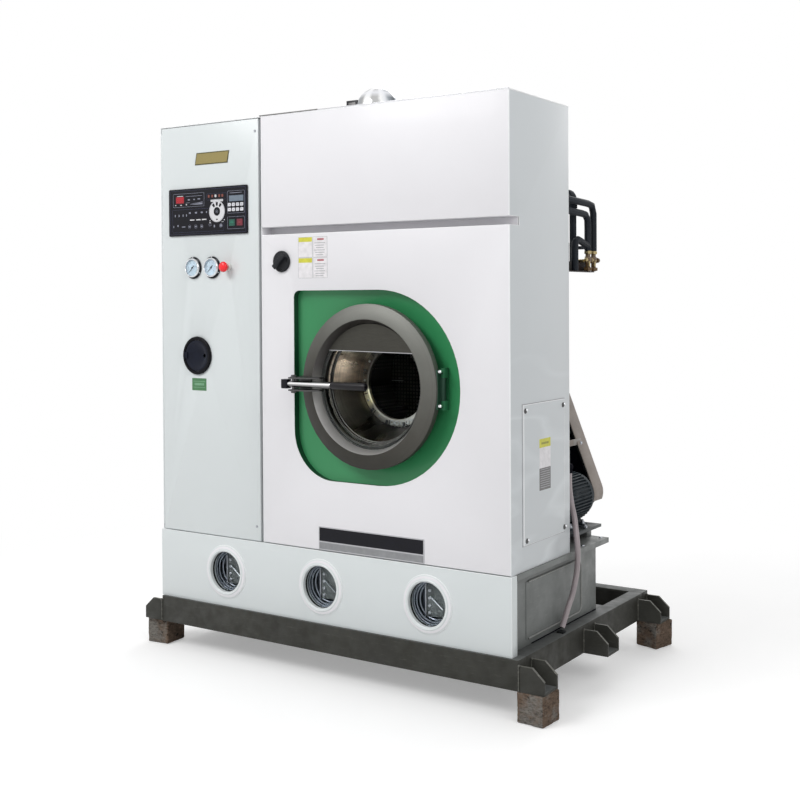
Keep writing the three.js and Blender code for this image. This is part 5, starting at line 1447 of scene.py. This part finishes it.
drive = {
    "motor": (650, 611),
    "drum": (236, 1055),
    "loop": (291.5, 71.5),   # the guard's round ends, about the drum and about the motor
    "sheet": 3.7,            # the guard's sheet with a little air
    "guardDepth": (751.5, 823.2),
    "openBelow": 584,
    "fins": 44,
    "finShape": ((0.0, 86), (0.42, 86), (0.56, 93), (0.88, 93)),    # share of a fin's turn, and reach
    "barrel": (496, 694),
    "cowl": ((0, 445), (72, 445), (86, 449), (90.5, 458), (91, 470), (91, 500), (88, 501), (88, 502), (0, 502)),
    "bell": ((0, 690), (87, 690), (90, 692), (90, 700), (87, 703), (86.4, 716), (80, 722), (58, 731), (54, 735),
             (0, 735)),
    "feet": (530, 630),
    "footDepth": 36,
    "footShape": ((80, -101), (80, -92), (62, -88), (46, -66)),     # one half, from the motor's axis
    "footBolt": ((0, 0), (12, 0), (12, 2), (8, 2), (8, 9), (4, 9), (4, 15), (0, 15)),
    "footBoltAt": (71, -92.4),      # aside and below the motor's axis
    "terminalBox": ((-124, 540, -8), (-68, 620, 48)),    # across and up from the motor's axis
    "slideTop": ((558.8, 488.8, 499.4), (766.2, 716.2, 510.6)),
    "tensionScrew": ((670, 600, 517), (762, 600, 517)),
    "screwRadius": 5,
    "lockNut": ((0, 0), (9.5, 0), (9.5, 8), (0, 8)),
    "lockNutAt": (750, 600, 517),
    "guardBack": (821.6, 823),
    "armFace": ((639.2, 721.6, 794.6), (647.4, 786, 817.4)),
    "guardBolt": ((0, 6), (4, 5.4), (6.6, 3), (7, 0), (7, -2), (0, -2)),
    "guardBoltAt": (651, 776, 800),
    "deckScrew": ((0, 4), (5, 3.4), (8, 0), (0, 0)),
    "deckScrewsAt": ((770, 700, 461), (775, 540, 461)),
}


# Outline of a loop round the drum's circle and the motor's circle, as (x, z).
def loopOutline(inset, steps=40):
    (drumX, drumZ), (motorX, motorZ) = drive["drum"], drive["motor"]
    big, small = (radius - inset for radius in drive["loop"])
    heading = math.degrees(math.atan2(motorZ - drumZ, motorX - drumX))
    spread = math.degrees(math.acos((big - small) / math.hypot(motorX - drumX, motorZ - drumZ)))
    arcs = ((motorX, motorZ, small, heading - spread, heading + spread),
            (drumX, drumZ, big, heading + spread, heading - spread + 360))
    return [around(x, z, radius, start + (end - start) * i / steps)
            for x, z, radius, start, end in arcs for i in range(steps + 1)]


def makeMotor():
    x, z = drive["motor"]
    turns = drive["fins"]
    outline = [around(x, z, reach, 360 * (fin + share) / turns)
               for fin in range(turns) for share, reach in drive["finShape"]]
    machinePiece(prismSet("motor_fins", [outline], *drive["barrel"]), motorPaint, ["drive_motor"])
    for name in ("cowl", "bell"):
        machinePiece(turnedPiece("motor_" + name, drive[name], (x, 0, z), 72, False), motorPaint)
    right = [(x + a, z + b) for a, b in drive["footShape"]]
    left = [(x - a, z + b) for a, b in drive["footShape"]]
    aside, below = drive["footBoltAt"]
    feet, bolts = [], []
    for y in drive["feet"]:
        feet.append(prismSet("foot", [left[:1] + right + left[:0:-1]], y, y + drive["footDepth"]))
        for side in (-1, 1):
            place = (x + side * aside, y + drive["footDepth"] / 2, z + below)
            bolts.append(turnedPiece("bolt", drive["footBolt"], place, 6, False, "Z"))
    machinePiece(joined("motor_feet", feet), motorPaint)
    box = slabPiece("motor_terminal_box", *shifted(drive["terminalBox"], x, z), 4, 3)
    machinePiece(box, motorPaint)
    machinePiece(slabPiece("motor_slide_top", *drive["slideTop"], 1), slidePaint)
    screw = roundBar("screw", drive["tensionScrew"], drive["screwRadius"], 12)
    lock = turnedPiece("nut", drive["lockNut"], drive["lockNutAt"], 6, False, "X")
    machinePiece(joined("motor_slide_bolts", bolts + [screw, lock]), screwSteel)


# The guard is open below, so its inside is lined with dark sheets of painted shade, and its arm and bolt are added.
def makeGuard():
    inner, outer = loopOutline(drive["sheet"] + 1), loopOutline(drive["sheet"])
    for name in ("guard_shade_band", "guard_shade_back"):
        bm = bmesh.new()
        if name == "guard_shade_band":
            addLoop(bm, outer, inner, *drive["guardDepth"])
        else:
            addPrism(bm, inner, *drive["guardBack"])
        cutUnder(bm, drive["openBelow"])
        machinePiece(newPiece(name, bm), darkAndShade)
    machinePiece(slabPiece("guard_arm_face", *drive["armFace"], 0.8), armPaint)
    bolt = turnedPiece("guard_bolt", drive["guardBolt"], drive["guardBoltAt"], 24, False, "X")
    machinePiece(bolt, screwSteel)
    deck = [turnedPiece("screw", drive["deckScrew"], place, 16, False, "Z") for place in drive["deckScrewsAt"]]
    machinePiece(joined("tank_deck_screws", deck), screwSteel)


makeMotor()
makeGuard()
print("motor and guard made")

undercarriage = {
    "frameX": (-785, 820),
    "bracketY": (-13, 455, 928),
    "plates": (0, 86),       # front faces of a bracket's two gussets, from the bracket's front
    "reach": 94,
    "top": 183,
    "nose": 144,
    "flat": 50,
    "beadFrom": 103,
    "beadTo": 184,
    "beadSteps": 12,
    "beadRadius": 1.9,
    "panel": (130, 534, 224, 414),
    "panelFace": 770.6,
    "panelBend": 26,
    "tankSide": 768,
    "joint": (170, 660, 200.2, 203.4),
    "hoseFoot": ((781, 322, 200), (808, 346, 206)),
}


# Bright worn edges and weld beads of the side brackets.
def makeBracketEdges():
    u = undercarriage
    top, steps = u["top"], u["beadSteps"]
    path = [(0, top), (u["flat"], top), (u["reach"], u["nose"])]
    raised = [(0, top + 1), (u["flat"] + 0.4, top + 1), (u["reach"] + 0.7, u["nose"] + 0.7)]
    swell = [u["beadRadius"] + 0.6 * math.sin(2.3 * i) for i in range(steps + 1)]
    dot = [(0, 4.2), (3, 3), (4.2, 0), (3, -3), (0, -4.2)]
    tops, beads = [], []
    for side, rootX in zip((-1, 1), u["frameX"]):
        outline = [(rootX + side * a, b) for a, b in path + raised[::-1]]
        x = rootX + side * 1.2
        for y in (start + plate for start in u["bracketY"] for plate in u["plates"]):
            tops.append(prismSet("edge", [outline], y - 0.3, y + 8.3))
            heights = [u["beadFrom"] + (u["beadTo"] - u["beadFrom"]) * i / steps for i in range(steps + 1)]
            beads.append(roundBar("bead", [(x, y - 1.2, height) for height in heights], swell, 10))
            beads.append(turnedPiece("dot", dot, (x + side * 1.5, y - 0.6, top + 1), 12, False, "Z"))
    machinePiece(joined("bracket_worn_edges", tops), wornEdge)
    machinePiece(joined("bracket_weld_beads", beads), wornEdge)


# The tank's pressed side panels stand out with a pale rounded bead, and a dark joint runs below them.
def makeTankSides():
    y0, y1, z0, z1 = undercarriage["panel"]
    bend, start = undercarriage["panelBend"], y0 + 14
    bends = [around(y1 - bend, z0 + bend, bend, -90 + 90 * i / 8) for i in range(9)]
    bends += [around(y1 - bend, z1 - bend, bend, 90 * i / 8) for i in range(9)]
    path = [(start, z0), ((y0 + y1) / 2, z0), *bends, (start, z1)]
    jointStart, jointEnd, jointLow, jointHigh = undercarriage["joint"]
    beads, joints = [], []
    for side in (-1, 1):
        beads.append(roundBar("bead", [(side * undercarriage["panelFace"], y, z) for y, z in path], 3.4, 12))
        x = side * undercarriage["tankSide"]
        joints.append(slabPiece("joint", (x - 1.5, jointStart, jointLow), (x + 1.5, jointEnd, jointHigh), 0.4))
    machinePiece(joined("tank_panel_beads", beads), tankBead)
    machinePiece(joined("tank_joint_lines", joints), darkAndShade)
    machinePiece(slabPiece("hose_foot", *undercarriage["hoseFoot"], 1.5), blackRubber)


timber = {
    "cuts": 22,
    "edge": 0.04,            # radius of the worn edges, as a share of a block
    "block": 0.1,            # metres
    "chips": ((30, 0.0012), (95, 0.0009)),    # how fine and how deep
    "worn": 0.0004,
}


# Each block is a gridded cube with worn edges and chips, turned as its solid lies.
def makeTimber():
    inside = 0.5 - timber["edge"]
    for node in [n for n in cadNodes if n.startswith("timber_block")]:
        spots = [vert.co for vert in cadNodes[node].data.vertices]
        low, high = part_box(node)
        middle = (Vector(low) + Vector(high)) / 2
        lowest, widest = min(spots, key=lambda p: p.y), max(spots, key=lambda p: p.x)
        lean = math.atan2(widest.y - lowest.y, widest.x - lowest.x)
        turn = Matrix.Rotation((lean + math.pi / 4) % (math.pi / 2) - math.pi / 4, 3, "Z")
        bm = bmesh.new()
        bmesh.ops.create_cube(bm, size=1)
        bmesh.ops.subdivide_edges(bm, edges=list(bm.edges), cuts=timber["cuts"], use_grid_fill=True)
        for vert in bm.verts:
            core = Vector(max(-inside, min(inside, part)) for part in vert.co)
            spread = vert.co - core
            shape = core + spread.normalized() * timber["edge"] if spread.length > 0 else core
            spot = middle + turn @ (shape * timber["block"])
            depth = sum(mathutils.noise.noise(spot * scale) * deep for scale, deep in timber["chips"])
            vert.co = spot + turn @ vert.co.normalized() * (depth - timber["worn"])
        machinePiece(newPiece(node + "_rough", bm), timberWood, [node], 60)


makeBracketEdges()
makeTankSides()
makeTimber()
print("frame, tank and blocks made")

roofEdges = {
    "boxFace": ((8, 169.2, 2046), (40, 170.4, 2078), 0.4),
    # Painted shade along the left of the roof's front edge.
    "dark": ((-276, 0.8, 2029.6), (0, 4, 2034.6), 0.3),
    # A painted highlight along the rest of the roof's front edge.
    "pale": ((0, 0.8, 2029.6), (786, 4, 2033), 0.3),
}


def makeRoof():
    dome = turnedPiece("duct_dome", ductDome["profile"], ductDome["centre"], 96, False, "Z")
    machinePiece(dome, domeSheet, ["duct_spigot"], 50)
    machinePiece(slabPiece("roof_box_face", *roofEdges["boxFace"]), labelGreyAndShade)
    machinePiece(slabPiece("roof_edge_shade", *roofEdges["dark"]), labelGreyAndShade)
    machinePiece(slabPiece("roof_edge_highlight", *roofEdges["pale"]), silverAndHighlight)


valves = {
    "x": 740,
    "y": (662, 709),
    "foot": 1457,
    "top": 1533,
    "branch": 1499,
    "cap": ((0, 9), (5, 7.5), (8, 3), (8, -3), (5, -7.5), (0, -9)),
    "spout": ((0, 0), (9, 0), (9, 4), (6, 6), (6, 30), (0, 30)),
    "web": ((716, 470, 1457.2), (721.6, 709, 1491), 0.6),
    "hole": ((721.4, 588, 1475), (722.4, 599, 1486), 0.4),
}


def makeValves():
    x, foot, branch = valves["x"], valves["foot"], valves["branch"]
    dark, bright = [], []
    for y in valves["y"]:
        for nuts, z, tall, radius in ((dark, foot + 2, 12, 17), (bright, valves["top"] - 12, 11, 15)):
            profile = [(0, 0), (radius - 1, 0), (radius, 1.5), (radius, tall - 1.5), (radius - 1, tall), (0, tall)]
            nuts.append(turnedPiece("nut", profile, (x, y, z), 6, False, "Z"))
        bright.append(turnedPiece("cap", valves["cap"], (x, y - 14, branch), 20, False, "Y"))
        bright.append(roundBar("stem", [(x + 8, y - 6, foot + 18), (x + 8, y - 6, foot + 36)], 4, 12))
    spoutAt = (x - 34, valves["y"][0] - 24, branch - 4)
    bright.append(turnedPiece("spout", valves["spout"], spoutAt, 20, False, "X"))
    machinePiece(joined("valve_nuts_dark", dark), valveBrass)
    machinePiece(joined("valve_nuts_bright", bright), valveBright)
    machinePiece(slabPiece("bracket_web", *valves["web"]), bracketBrown)
    machinePiece(slabPiece("bracket_hole", *valves["hole"]), labelWhite)


makeRoof()
makeValves()
print("roof and valves made")
